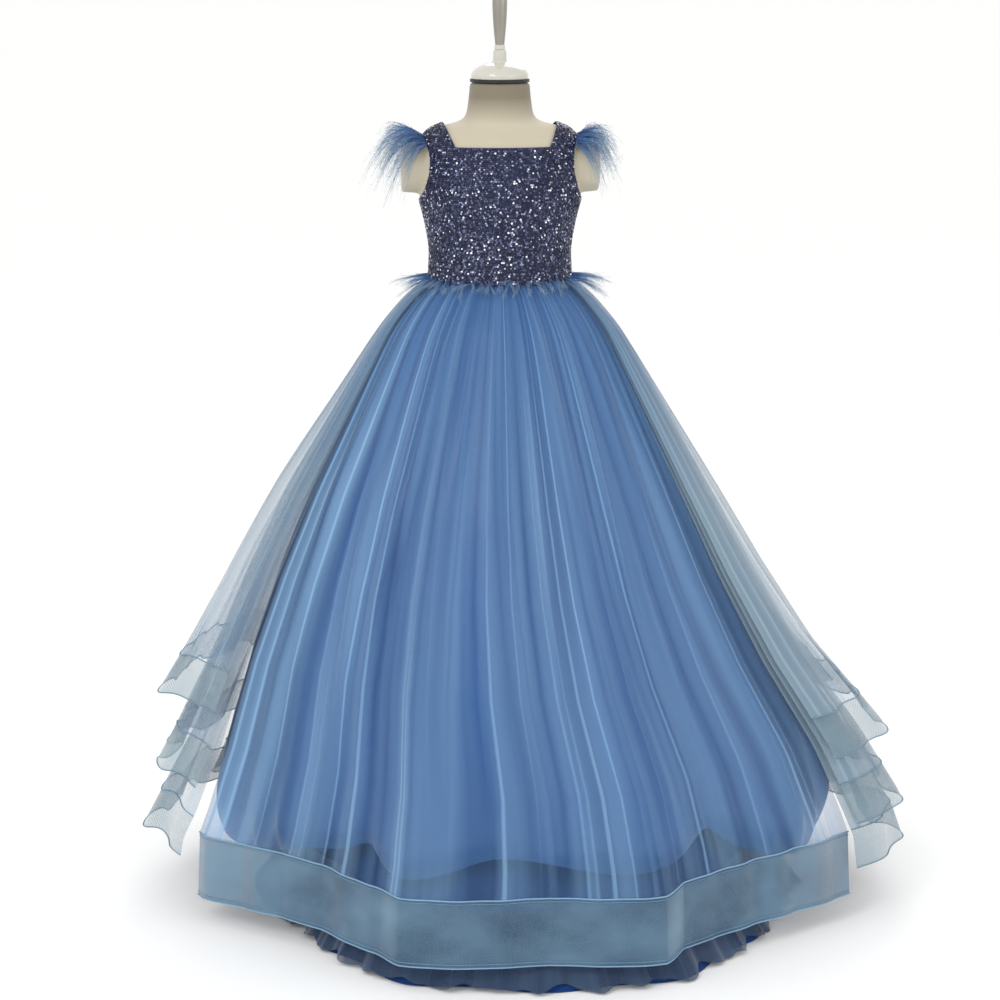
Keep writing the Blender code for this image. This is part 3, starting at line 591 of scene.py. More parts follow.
# Dyed ostrich: soft matt barbs, deep blue at the root and greyer towards the tip.
feather = ramped(
    "dyed ostrich feather",
    "along",
    ((0.0, "#1F4A86"), (0.40, "#4673A4"), (0.72, "#7891A8"), (1.0, "#9AA5AC")),
    0.8,
    Sheen_Weight=0.3,
)
# Power mesh under the sequins: a matt knit in the darkest tone.
backing = speckled("nylon power mesh", "#1D2444", "#2B3159", roughness=0.7, scale=300)
form_cover = jersey()
# Stoved enamel: hard, white and glossy.
enamel = speckled("stoved enamel", "#B9B6AB", "#C3C0B6", roughness=0.16, scale=12, Coat_Weight=0.4)
# Moulded rubber: black, with a dull shine.
rubber = speckled("nitrile rubber", "#0C0C0D", "#161617", roughness=0.5, scale=60)
# Turned steel, satin brushed: a broad, soft reflection.
steel = speckled(
    "satin stainless steel", "#A09C94", "#8C8880", roughness=0.32, scale=40, Metallic=0.9
)
# Die-cast zinc, nickel plated: a small bright reflection.
nickel = speckled(
    "nickel-plated zinc", "#B9BBBE", "#A6A8AB", roughness=0.25, scale=200, Metallic=1.0
)
# A matt woven tape, dyed to match the bodice.
tape_weave = speckled("woven polyester tape", "#26305A", "#1D2648", roughness=0.8, scale=400)
# Corded edges and stitches: smooth spun threads, paler than the crin that they lie on.
cord_thread = speckled("polyester edging cord", "#83A8C3", "#7095B2", roughness=0.5, scale=200)
tier_thread = speckled(
    "polyester cord on the tiers", "#6C8FA4", "#5C7F95", roughness=0.5, scale=200
)
stitching_thread = speckled("polyester thread", "#6F93B0", "#5F84A2", roughness=0.6, scale=200)
# Matt paint: nearly white, so that only the dress's soft shadow shows on it.
floor_paint = speckled("matt pale floor", "#F7F7F6", "#F9F9F8", roughness=0.9, scale=2)


def cloth(name, points, material, closed=False, steep=None, rim=None):
    """A sheet of cloth through a grid of points: rows from top to bottom, columns round the pole.
    The last column of a closed grid repeats the first. The UV map is the cloth's own width and
    length in metres, measured along its last row and down its columns. steep is how far each
    point's fold turns edge-on, and rim how near it is to the net's side edges, from 0 to 1."""
    rows, columns = points.shape[:2]
    width = np.linalg.norm(np.diff(points[-1], axis=0), axis=1)
    u = np.concatenate([[0], np.cumsum(width)])
    drop = np.linalg.norm(np.diff(points, axis=0), axis=2)
    v = np.vstack([np.zeros(columns), -np.cumsum(drop, axis=0)])
    index = np.arange(rows * columns).reshape(rows, columns)
    if closed:
        index = index - np.arange(rows)[:, None]
        index[:, -1] = index[:, 0]
        points, steep, rim = points[:, :-1], steep[:, :-1], rim[:, :-1]
    corners = ((0, 0), (1, 0), (1, 1), (0, 1))
    span_rows, span_columns = rows - 1, columns - 1
    quads = np.stack([index[i : i + span_rows, j : j + span_columns] for i, j in corners], axis=-1)
    mesh = bpy.data.meshes.new(name)
    mesh.from_pydata(points.reshape(-1, 3).tolist(), [], quads.reshape(-1, 4).tolist())
    u = np.broadcast_to(u, (rows, columns))
    corner_uv = [
        np.stack([way[i : i + span_rows, j : j + span_columns] for i, j in corners], axis=-1)
        for way in (u, v)
    ]
    layer = mesh.uv_layers.new(name="cloth")
    layer.data.foreach_set("uv", np.stack(corner_uv, axis=-1).reshape(-1).astype(np.float32))
    for attribute, values in (("steep", steep), ("rim", rim)):
        if values is not None:
            layer = mesh.attributes.new(attribute, "FLOAT", "POINT")
            layer.data.foreach_set("value", values.reshape(-1).astype(np.float32))
    mesh.shade_smooth()
    mesh.materials.append(material)
    piece = bpy.data.objects.new(name, mesh)
    bpy.context.scene.collection.objects.link(piece)
    return piece


def stand(bearing, height, reach):
    """Points at a bearing, a height and a distance from the skirt's own middle."""
    turn = np.radians(bearing)
    shift = at_height(LEAN, height)
    return np.stack([shift + reach * np.sin(turn), -reach * np.cos(turn), height + 0 * turn], axis=-1)


def soften(grid, passes):
    """Evens out a grid from row to row, and leaves its first and last rows."""
    for _ in range(passes):
        grid[1:-1] = (grid[:-2] + 2 * grid[1:-1] + grid[2:]) / 4
    return grid


def gathers(share, down, count, seed, deepest):
    """Uneven gathers that leave the waist seam and die out on the way down."""
    chance = random.Random(seed)
    lift = np.zeros(np.broadcast(share, down).shape)
    for k in range(count):
        middle = (k + chance.uniform(0.1, 0.9)) / count
        drift = chance.uniform(-1.0, 1.0) / count
        half = chance.uniform(0.15, 0.40) / count
        reach = chance.uniform(0.35, 1.15)
        depth = deepest * chance.uniform(0.25, 1.0)
        ridge = np.exp(-(((share - middle - drift * down) / half) ** 2))
        lift += depth * ridge * np.clip((reach - down) / 0.3, 0, 1)
    rise = 0.12 + 0.88 * smooth_step(down, 0.0, 0.18)
    return lift * rise * np.clip((1 - down) / 0.08, 0, 1)


def skirt(name, radius, heights, around, folds, uneven, columns, rows, material, creases=(),
          curl=(0, 0, 0), rim_width=1):
    """One layer of a skirt. heights are its upper and lower edge's, each a function of the bearing,
    and around is its first and last bearing. folds is how many folds it has, and uneven is how
    unevenly they are spaced. creases are (count, seed, depth) of its gathers, and curl is how far
    it winds to and fro, in degrees and metres, and the share of the way down where that starts.
    rim_width is how many degrees in from its first and last bearing its rim reaches."""
    start, span = around[0], around[1] - around[0]
    closed = span >= 360
    share = np.linspace(0, 1, columns + 1)
    turn = share + 0.5 if closed else share
    bearing = start + span * (turn + uneven * np.sin(4 * np.pi * turn) / folds)
    phase = 2 * np.pi * folds * turn
    down = (np.linspace(0, 1, rows) ** 1.1)[:, None]
    top_z, hem_z = (edge(bearing) for edge in heights)
    height = top_z + (hem_z - top_z) * down
    flat = radius(bearing[None, :], height, np.full((1, columns + 1), np.pi / 2))
    fold = radius(bearing[None, :], height, phase[None, :]) - flat
    for crease in creases:
        fold = fold + gathers(share[None, :], down, *crease)
    reach = soften(flat, rows // 14) + fold
    slope = np.gradient(reach, axis=1) / (reach * np.radians(np.gradient(bearing)))
    steep = np.abs(slope) / np.hypot(1, slope)
    bearing = np.broadcast_to(bearing, reach.shape)
    inside = np.minimum(bearing - around[0], around[1] - bearing)
    rim = np.zeros_like(reach) if closed else 1 - smooth_step(inside, 0.0, rim_width)
    free = smooth_step(np.abs(signed(bearing)), TIER_LEAVES_PANEL[0], TIER_WINDS_FULLY)
    wound = free * (smooth_step(down, curl[2], 1.0) if curl[2] else 1.0)
    bearing = bearing + curl[0] * wound * np.sin(2 * phase)
    reach = reach + curl[1] * wound * np.sin(1.37 * phase + 1.1)
    piece = cloth(name, stand(bearing, height, reach), material, closed, steep, rim)
    return piece, bearing, height, reach


def edging(name, lines, radius, material, sides=5):
    """Thin cords along several lines of points, joined into one piece."""
    points, faces = [], []
    for line in lines:
        ahead = np.gradient(line, axis=0)
        ahead /= np.linalg.norm(ahead, axis=1)[:, None]
        out = line * (1, 1, 0) - line.mean(axis=0) * (1, 1, 0)
        side = np.cross(ahead, out)
        side /= np.linalg.norm(side, axis=1)[:, None]
        out = np.cross(side, ahead)
        first = len(points)
        for p, a, b in zip(line, out, side):
            for k in range(sides):
                turn = 2 * math.pi * k / sides
                points.append(tuple(p + radius * (math.cos(turn) * a + math.sin(turn) * b)))
        for i in range(len(line) - 1):
            for k in range(sides):
                a, b = first + i * sides + k, first + i * sides + (k + 1) % sides
                faces.append((a, b, b + sides, a + sides))
        last = first + (len(line) - 1) * sides
        faces.append(tuple(reversed(range(first, first + sides))))
        faces.append(tuple(range(last, last + sides)))
    return solid(name, points, faces, material)


def solid(name, points, faces, material, attributes=None):
    """A piece made of points and faces. attributes are numbers for each point, by name."""
    mesh = bpy.data.meshes.new(name)
    mesh.from_pydata([tuple(p) for p in points], [], faces)
    for key, values in (attributes or {}).items():
        layer = mesh.attributes.new(key, "FLOAT", "POINT")
        layer.data.foreach_set("value", np.array(values, np.float32))
    mesh.shade_smooth()
    mesh.materials.append(material)
    piece = bpy.data.objects.new(name, mesh)
    bpy.context.scene.collection.objects.link(piece)
    return piece


def dress(piece, node):
    """The piece rides on the dress and stands for a CAD node."""
    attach(piece, "dress")
    if node:
        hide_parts(node)
    return piece


def level(height):
    """An edge that keeps one height all round."""
    return lambda bearing: np.full(np.shape(bearing), height)


# The skirt's layers, from the inside out
FULL_TURN = (0, 360)
petticoat, *_ = skirt(
    "petticoat_cloth", petticoat_radius, (level(WAIST_Z), level(PETTICOAT_HEM_Z)), FULL_TURN,
    folds=14, uneven=0.10, columns=448, rows=56, material=petticoat_cloth,
    creases=((60, 3, 0.0016),),
)
dress(petticoat, "petticoat")


def satin_hem(bearing):
    """The satin's hem rises and falls seven times round, and hangs lower at the sides."""
    side = smooth_step(np.abs(signed(bearing)), *SATIN_DROP_STARTS)
    rise = np.sin(np.radians(7 * bearing + 125))
    return SATIN_HEM_Z + SATIN_HEM_RISE * rise - SATIN_SIDE_DROP * side


def satin_turned_in(bearing, height, phase):
    """The satin skirt, whose hem turns in over its last centimetre or two."""
    turned_in = smooth_step(satin_hem(bearing) + SATIN_TURN - height, 0.0, SATIN_TURN)
    return satin_radius(bearing, height, phase) - 0.5 * SATIN_TURN * turned_in


satin_skirt, *_ = skirt(
    "satin_skirt_cloth", satin_turned_in, (level(WAIST_Z), satin_hem), FULL_TURN,
    folds=12, uneven=0.10, columns=540, rows=96, material=satin,
    creases=((30, 5, 0.0036), (13, 6, -0.0130)),
)
dress(satin_skirt, "satin_skirt")

front_net, *_ = skirt(
    "front_net", panel_radius, (level(WAIST_Z), level(PANEL_BAND_TOP)), PANEL_EDGES,
    folds=PANEL_WAVES, uneven=0.0, columns=800, rows=76, material=panel_net,
    creases=((27, 7, 0.0055), (11, 8, 0.0105)), rim_width=9,
)
dress(front_net, "front_net_panel")

front_band, *front_grids = skirt(
    "front_band", panel_radius, (level(PANEL_BAND_TOP), level(PANEL_BAND_BOTTOM)), PANEL_EDGES,
    folds=PANEL_WAVES, uneven=0.0, columns=408, rows=12, material=front_crin,
)
dress(front_band, "front_hem_band")


def band_lines(bearing, height, reach, rows, out=0.0008):
    """Lines along a band, at shares of the way down it."""
    lines = []
    for share in rows:
        place = share * (len(height) - 1)
        low = min(int(place), len(height) - 2)
        mix = place - low
        parts = [(1 - mix) * grid[low] + mix * grid[low + 1] for grid in (bearing, height, reach)]
        lines.append(stand(parts[0], parts[1], parts[2] + out))
    return lines


front_cords = edging(
    "front_band_cords", band_lines(*front_grids, (0.0, 1.0)), radius=0.0010, material=cord_thread
)
dress(front_cords, None)
front_stitching = edging(
    "front_band_stitching", band_lines(*front_grids, (0.06, 0.95)), radius=0.0005,
    material=stitching_thread, sides=4,
)
dress(front_stitching, None)

TIER_CURL = (2.2, 0.006)  # in degrees and in metres
for name, order, folds, waves, uneven, seed in (
    ("long", 1, LONG_TIER_FOLDS, 14, 0.25, 11),
    ("middle", 2, MIDDLE_TIER_FOLDS, 13, -0.25, 13),
    ("short", 3, SHORT_TIER_FOLDS, 14, 0.20, 17),
):
    radius = tier_radius(order, folds)

    def band_top(bearing, name=name):
        return tier_hem_height(name, bearing) + TIER_BAND_DROP

    def band_hem(bearing, name=name):
        return tier_hem_height(name, bearing)

    net, *_ = skirt(
        f"{name}_tier_net", radius, (level(WAIST_Z), band_top), TIER_EDGES, folds=waves,
        uneven=uneven, columns=waves * 44, rows=60, material=tier_net,
        creases=((56, seed, 0.0012 * order),), curl=(*TIER_CURL, 0.72), rim_width=36,
    )
    dress(net, f"{name}_net_tier")
    band, *grids = skirt(
        f"{name}_tier_crin", radius, (band_top, band_hem), TIER_EDGES, folds=waves, uneven=uneven,
        columns=waves * 32, rows=9, material=tier_crin, curl=(*TIER_CURL, 0),
    )
    dress(band, f"{name}_tier_band")
    cords = edging(
        f"{name}_tier_cords", band_lines(*grids, (0.0, 1.0)), radius=0.0009, material=tier_thread, sides=4
    )
    dress(cords, None)


def ruffle_radius(bearing, height, phase):
    """A ruffle on the petticoat's hem, standing clear of it and fuller at its edge."""
    low = smooth_step(RUFFLE_TOP - height, 0.0, RUFFLE_TOP)
    base = spread_radius(PETTICOAT_HEM, PETTICOAT_SPREAD, 0, bearing, height) + 0.002
    wave = 0.0045 * np.cos(phase) + 0.0035 * np.sin(0.61 * phase + 2) + 0.0015 * np.sin(2.3 * phase)
    return base + low * (0.006 + wave)


def ruffle_hem(bearing):
    """The ruffle's edge just clears the floor, and lifts here and there."""
    turn = np.radians(bearing)
    lift = 0.0025 * np.sin(23 * turn + 1) + 0.0022 * np.sin(37 * turn) + 0.0012 * np.sin(61 * turn)
    return 0.0065 + lift


ruffle, *_ = skirt(
    "petticoat_ruffle", ruffle_radius, (level(RUFFLE_TOP), ruffle_hem), FULL_TURN,
    folds=46, uneven=0.6, columns=1024, rows=16, material=ruffle_net,
)
dress(ruffle, None)


def smooth_sections(sections, steps):
    """More sections between those of a table, on a smooth curve through them."""
    table = np.array(sections)
    padded = np.vstack([2 * table[0] - table[1], table, 2 * table[-1] - table[-2]])
    rows = []
    for k in range(1, len(padded) - 2):
        a, b, c, d = padded[k - 1 : k + 3]
        bend = 2 * a - 5 * b + 4 * c - d
        twist = 3 * b - a - 3 * c + d
        for s in np.arange(steps) / steps:
            rows.append(0.5 * (2 * b + (c - a) * s + bend * s**2 + twist * s**3))
    rows.append(padded[-2])
    return np.array(rows)


def loft(name, sections, sides, material, inset=0.0):
    """A closed body through sections, from the lowest to the highest."""
    turns = 2 * np.pi * np.arange(sides) / sides
    points, faces = [], []
    for height, width, depth, back in sections:
        for turn in turns:
            x = (width - inset) * math.sin(turn)
            points.append((x, back - (depth - inset) * math.cos(turn), height))
    for i in range(len(sections) - 1):
        for j in range(sides):
            a, b = i * sides + j, i * sides + (j + 1) % sides
            faces.append((a, b, b + sides, a + sides))
    faces.append(tuple(reversed(range(sides))))
    faces.append(tuple(range(len(points) - sides, len(points))))
    return solid(name, points, faces, material)


def apply_modifier(piece, kind, **settings):
    """Finishes a piece with a modifier and applies it."""
    modifier = piece.modifiers.new(kind, kind)
    for key, value in settings.items():
        setattr(modifier, key, value)
    bpy.ops.object.select_all(action="DESELECT")
    bpy.context.view_layer.objects.active = piece
    piece.select_set(True)
    bpy.ops.object.modifier_apply(modifier=modifier.name)


def block(name, low, high):
    """A plain block for cutting with."""
    bpy.ops.object.select_all(action="DESELECT")
    middle = [(a + b) / 2 for a, b in zip(low, high)]
    bpy.ops.mesh.primitive_cube_add(size=1, location=middle)
    piece = bpy.context.object
    piece.name = name
    piece.scale = [b - a for a, b in zip(low, high)]
    bpy.ops.object.transform_apply(location=True, rotation=True, scale=True)
    return piece


FAR = 0.3
bodice_rows = smooth_sections(BODICE_SECTIONS, 5)
neckline_points = (
    (-NECKLINE_HALF_WIDTH, NECKLINE_Z),
    (NECKLINE_HALF_WIDTH, NECKLINE_Z),
    (NECKLINE_HALF_WIDTH_AT_TOP, NECKLINE_TOP),
    (-NECKLINE_HALF_WIDTH_AT_TOP, NECKLINE_TOP),
)
neckline_cut = solid(
    "neckline_cut",
    [(x, -FAR, z) for x, z in neckline_points] + [(x, FAR, z) for x, z in neckline_points],
    [(0, 1, 2, 3), (7, 6, 5, 4), (0, 4, 5, 1), (1, 5, 6, 2), (2, 6, 7, 3), (3, 7, 4, 0)],
    backing,
)
bpy.ops.object.select_all(action="DESELECT")
bpy.ops.mesh.primitive_cylinder_add(
    vertices=72,
    radius=ARMHOLE_RADIUS,
    depth=2 * FAR,
    location=(0, 0, ARMHOLE_Z),
    rotation=(0, math.radians(90), 0),
)
armhole_cut = bpy.context.object
bpy.ops.object.transform_apply(location=True, rotation=True, scale=True)
hollow_rows = bodice_rows.copy()
hollow_rows[0, 0] -= 0.02
hollow_rows[-1, 0] += 0.02
hollow_cut = loft("hollow_cut", hollow_rows, BODY_SIDES, backing, BODICE_WALL)
waist_cut = block("waist_cut", (-FAR, -FAR, CUT_BELOW), (FAR, FAR, BODICE_BOTTOM))
zip_edge = ZIP_HALF_WIDTH + PANEL_GAP
for name, low, high in (
    ("front", (-FAR, PANEL_GAP / 2, CUT_BELOW), (FAR, FAR, CUT_ABOVE)),
    ("back_left", (-zip_edge, -FAR, CUT_BELOW), (FAR, FAR, CUT_ABOVE)),
    ("back_right", (-FAR, -FAR, CUT_BELOW), (zip_edge, FAR, CUT_ABOVE)),
):
    piece = loft(f"bodice_{name}_mesh", bodice_rows, BODY_SIDES, backing)
    sides = [block("panel_cut", low, high)]
    if name != "front":
        sides.append(block("front_cut", (-FAR, -FAR, CUT_BELOW), (FAR, -PANEL_GAP / 2, CUT_ABOVE)))
    for cutter in (hollow_cut, neckline_cut, armhole_cut, waist_cut, *sides):
        apply_modifier(piece, "BOOLEAN", object=cutter, operation="DIFFERENCE", solver="EXACT")
    for cutter in sides:
        bpy.data.objects.remove(cutter)
    piece.data.shade_smooth()
    piece.data.set_sharp_from_angle(angle=math.radians(40))
    dress(piece, f"bodice_{name}")
for cutter in (hollow_cut, neckline_cut, armhole_cut, waist_cut):
    bpy.data.objects.remove(cutter)


def bodice_surface(row, turn):
    """A point on the bodice's outer face, and the directions out of it and down it."""
    low = min(int(row), len(bodice_rows) - 2)
    here, above = (
        bodice_rows[low] * (1 - m) + bodice_rows[low + 1] * m for m in (row - low, row - low + 0.05)
    )
    points = []
    for (height, width, depth, back), angle in ((here, turn), (above, turn), (here, turn + 0.01)):
        points.append(Vector((width * math.sin(angle), back - depth * math.cos(angle), height)))
    up = (points[1] - points[0]).normalized()
    out = (points[2] - points[0]).cross(up).normalized()
    return points[0], out, -up


# What share of the sequins, counted up, has a tone between which limits; the last share, with the palest
# tones, are painted glints
SEQUIN_TONES = ((0.52, (0.0, 0.35)), (0.80, (0.35, 0.70)), (0.955, (0.70, 0.92)), (1.0, (0.92, 1.0)))


def sew_sequins():
    """Rows of cupped sequins, each sewn at its top edge, so that it tips out a little."""
    chance = random.Random(29)
    groups = {"front": ([], [], []), "back_left": ([], [], []), "back_right": ([], [], [])}
    lengths = np.linalg.norm(np.diff(bodice_rows[:, :2], axis=0), axis=1)
    along = np.concatenate([[0], np.cumsum(lengths)])
    for k in range(int(along[-1] / SEQUIN_ROW_STEP)):
        row = np.interp(k * SEQUIN_ROW_STEP, along, np.arange(len(along)))
        width = np.interp(row, np.arange(len(along)), bodice_rows[:, 1])
        skip = 2 if width < 0.062 else 1
        for column in range(0, SEQUIN_COLUMNS, skip):
            place = column + 0.5 * (k % 2) + chance.uniform(-0.15, 0.15)
            turn = 2 * math.pi * place / SEQUIN_COLUMNS
            middle, out, down = bodice_surface(row, turn)
            x, y, z = middle
            from_armhole = math.hypot(y, z - ARMHOLE_Z) - ARMHOLE_RADIUS
            if z < BODICE_BOTTOM + 0.002 or from_armhole < SEQUIN_MARGIN:
                continue
            share = (z - NECKLINE_Z) / (NECKLINE_TOP - NECKLINE_Z)
            inner = NECKLINE_HALF_WIDTH + share * (NECKLINE_HALF_WIDTH_AT_TOP - NECKLINE_HALF_WIDTH)
            if z > NECKLINE_Z - 0.0005 and abs(x) < inner + SEQUIN_MARGIN:
                continue
            if y > 0 and abs(x) < zip_edge + 2 * SEQUIN_MARGIN:
                continue
            group = "front" if y < 0 else ("back_left" if x < 0 else "back_right")
            points, faces, tones = groups[group]
            side = down.cross(out)
            lean = math.radians(14 + chance.uniform(-16, 16))
            roll = math.radians(chance.uniform(-20, 20))
            face_out = out * math.cos(lean) - down * math.sin(lean) + side * math.sin(roll)
            face_out.normalize()
            across = (side - face_out * side.dot(face_out)).normalized()
            along_face = face_out.cross(across)
            centre = middle + out * 0.0010
            # About one sequin in twenty gets a near-white tone, a painted glint
            pick = chance.random()
            low, high = next(bounds for share, bounds in SEQUIN_TONES if pick < share)
            tone = chance.uniform(low, high)
            first = len(points)
            points.append(centre - face_out * 0.0002)
            radius = SEQUIN_RADIUS * chance.uniform(0.75, 1.1)
            for corner in range(6):
                angle = math.radians(60 * corner)
                spoke = math.cos(angle) * across + math.sin(angle) * along_face
                points.append(centre + radius * spoke)
            tones += [tone] * 7
            faces += [(first, first + 1 + c, first + 1 + (c + 1) % 6) for c in range(6)]
    pieces = []
    for group, (points, faces, tones) in groups.items():
        piece = solid(f"bodice_{group}_sequins", points, faces, sequins, {"tone": tones})
        piece.data.shade_flat()
        pieces.append(dress(piece, None))
    return pieces


sequin_pieces = sew_sequins()


def scatter(*seeds):
    """A repeatable number from -1 to 1."""
    value = math.sin(sum(seed * weight for seed, weight in zip(seeds, (12.99, 78.23, 37.72)))) * 4375.85
    return 2 * (value - math.floor(value)) - 1


def bodice_side_x(y, height):
    """How far out the bodice's side lies."""
    width, depth, back = (at_height(BODICE_SECTIONS, height, column) for column in (1, 2, 3))
    return width * math.sqrt(1 - ((y - back) / depth) ** 2)


def armhole_strands(side, reach):
    """The trim's main strands, each as its root, its elbow and its tip."""
    roots = []
    for k in range(ARMHOLE_CELLS + 1):
        turn = math.radians(ARMHOLE_TRIM_HALF_TURN * (2 * k / ARMHOLE_CELLS - 1))
        spoke = Vector((0, math.sin(turn), math.cos(turn)))
        edge = Vector((0, 0, ARMHOLE_Z)) + spoke * ARMHOLE_RADIUS
        out = bodice_side_x(edge.y, edge.z) + STRIP_THICK + 0.0006
        roots.append(edge + spoke * STRIP_CELL + Vector((side * out, 0, 0)))
    strands = []
    for i in range(ARMHOLE_CELLS):
        for row in (0, 1):
            root = (roots[i] + roots[i + 1]) / 2
            fan = root.y / (ARMHOLE_RADIUS * math.sin(math.radians(ARMHOLE_TRIM_HALF_TURN)))
            a, b, c = scatter(i, row, side), scatter(row + 2, i, side), scatter(i, side, row + 5)
            low_row = row == (0 if side > 0 else 1)
            rise = 0.80 - 0.62 * abs(fan) - 0.32 * low_row + 0.10 * a
            outward = side * (0.95 - 0.25 * abs(fan))
            first = Vector((outward, 0.75 * fan + 0.10 * b, rise)).normalized()
            outward = side * (0.34 + 0.14 * c - 0.12 * abs(fan))
            last = Vector((outward, 0.22 * fan + 0.16 * a, -1)).normalized()
            out = reach * (0.62 + 0.06 * b - 0.16 * abs(fan))
            fall = reach * (0.66 + 0.20 * c + 0.06 * abs(fan))
            strands.append((root, root + first * out, root + first * out + last * fall))
    return strands


def waist_strands():
    """The waist trim's main strands, in two rows, longer at the hips."""
    z = WAIST_Z + STRIP_CELL + 0.0010
    width = at_height(BODICE_SECTIONS, z, 1) + STRIP_THICK + 0.0004
    depth = at_height(BODICE_SECTIONS, z, 2) + STRIP_THICK + 0.0004
    strands = []
    for i in range(WAIST_CELLS):
        turn = 2 * math.pi * (i + 0.5) / WAIST_CELLS
        outward = Vector((math.sin(turn) / width, -math.cos(turn) / depth, 0)).normalized()
        along = Vector((-outward.y, outward.x, 0))
        for row in (0, 1):
            height = z + STRIP_CELL * (row - 0.5)
            root = Vector((width * math.sin(turn), -depth * math.cos(turn), height))
            a, b, c = scatter(i, row, 3), scatter(row, i, 7), scatter(i, 11, row)
            first = (outward + along * 0.30 * a + Vector((0, 0, 0.30 * row - 0.18))).normalized()
            drop = Vector((0, 0, 0.30 * row + 0.20 * b - 0.80))
            last = (outward + along * 0.55 * c + drop).normalized()
            tuft = HIP_TUFT_RIGHT if outward.x > 0 else HIP_TUFT_LEFT
            length = 0.008 + 0.002 * b + (tuft + 0.004 * c) * smooth_step(abs(outward.x), 0.70, 0.98)
            strands.append((root, root + first * length, root + (first + last) * length))
    return strands


def feathers(name, strands, seed, copies, steps, spread, width, hairs, droop):
    """Soft barbs round each main strand: thin tapering ribbons that keep together at the root and
    part towards the tip, each with finer hairs along it. droop is how far their tips sink."""
    chance = random.Random(seed)
    points, faces, along = [], [], []

    def stray(size):
        return Vector([chance.gauss(0, size) for _ in range(3)])

    for root, elbow, tip in strands:
        lock = stray(spread)
        for _ in range(copies):
            start = root + stray(0.0010)
            bend = elbow + lock * 0.6 + stray(spread * 0.45)
            end = elbow + (tip - elbow) * chance.uniform(0.2, 1.05) + lock + stray(spread * 0.7)
            bend.z -= droop * 0.5
            end.z -= droop
            flat = stray(1).normalized()
            shade = chance.uniform(-0.25, 0.25)
            line = []
            for step in range(steps + 1):
                s = step / steps
                line.append(start * (1 - s) ** 2 + bend * 2 * s * (1 - s) + end * s * s)
            first = len(points)
            for step, p in enumerate(line):
                s = step / steps
                half = flat * (width * (1 - 0.8 * s))
                points += [p - half, p + half]
                along += [min(max(s + shade, 0.0), 1.0)] * 2
                if step:
                    a = first + 2 * step
                    faces.append((a - 2, a - 1, a + 1, a))
            for hair in range(hairs):
                s = 0.15 + 0.8 * (hair + chance.random()) / hairs
                place = min(int(s * steps), steps - 1)
                mix = s * steps - place
                p = line[place] * (1 - mix) + line[place + 1] * mix
                ahead = (line[place + 1] - line[place]).normalized()
                tip_of_hair = p + (ahead + stray(0.30)) * chance.uniform(0.004, 0.009)
                a = len(points)
                points += [p, p + ahead * 0.0006, tip_of_hair]
                along += [min(max(s + shade, 0.0), 1.0)] * 3
                faces.append((a, a + 1, a + 2))
    return solid(name, points, faces, feather, {"along": along})


for name, side, reach in ARMHOLE_STRANDS:
    trim = feathers(
        f"{name}_armhole_barbs", armhole_strands(side, reach), seed=40 + side, copies=13, steps=7,
        spread=0.0055, width=BARB_WIDTH, hairs=6, droop=0.013,
    )
    dress(trim, f"armhole_feathers_{name}")
trim = feathers(
    "waist_barbs", waist_strands(), seed=53, copies=12, steps=4, spread=0.0036, width=BARB_WIDTH,
    hairs=4, droop=0.005,
)
dress(trim, "waist_feathers")


# The dress form's padded bust under its jersey cover
bust = loft("form_bust_cover", smooth_sections(FORM_SECTIONS, 4), BODY_SIDES, form_cover)
for side in (-1, 1):
    bpy.ops.object.select_all(action="DESELECT")
    bpy.ops.mesh.primitive_cone_add(
        vertices=48,
        radius1=STUB_RADIUS,
        radius2=STUB_END_RADIUS,
        depth=STUB_REACH - STUB_START,
        location=(side * (STUB_REACH + STUB_START) / 2, 0, ARMHOLE_Z),
        rotation=(0, side * math.radians(90), 0),
    )
    stub = bpy.context.object
    bpy.ops.object.transform_apply(location=True, rotation=True, scale=True)
    apply_modifier(bust, "BOOLEAN", object=stub, operation="UNION", solver="EXACT")
    bpy.data.objects.remove(stub)
apply_modifier(bust, "REMESH", mode="VOXEL", voxel_size=0.0028, use_smooth_shade=True)
apply_modifier(bust, "SMOOTH", iterations=6, factor=0.5)
dress(bust, "form_bust")


def turned(name, profile, material, node, middle_y=NECK_Y, sides=64):
    """A turned piece: a disc drawn up, and drawn in or out, from ring to ring. profile is
    (height, radius) from the bottom up."""
    bpy.ops.object.select_all(action="DESELECT")
    (height, radius), *rest = profile
    bpy.ops.mesh.primitive_circle_add(
        vertices=sides, radius=radius, fill_type="NGON", location=(0, middle_y, height)
    )
    piece = bpy.context.object
    piece.name = name
    bpy.ops.object.mode_set(mode="EDIT")
    for z, r in rest:
        bpy.ops.mesh.extrude_region_move(TRANSFORM_OT_translate={"value": (0, 0, z - height)})
        bpy.ops.transform.resize(value=(r / radius, r / radius, 1), center_override=(0, middle_y, z))
        height, radius = z, r
    bpy.ops.mesh.select_all(action="SELECT")
    bpy.ops.mesh.normals_make_consistent(inside=False)
    bpy.ops.object.mode_set(mode="OBJECT")
    bpy.ops.object.transform_apply(location=True, rotation=True, scale=True)
    bpy.ops.object.shade_smooth_by_angle(angle=math.radians(35))
    piece.data.materials.append(material)
    return dress(piece, node)


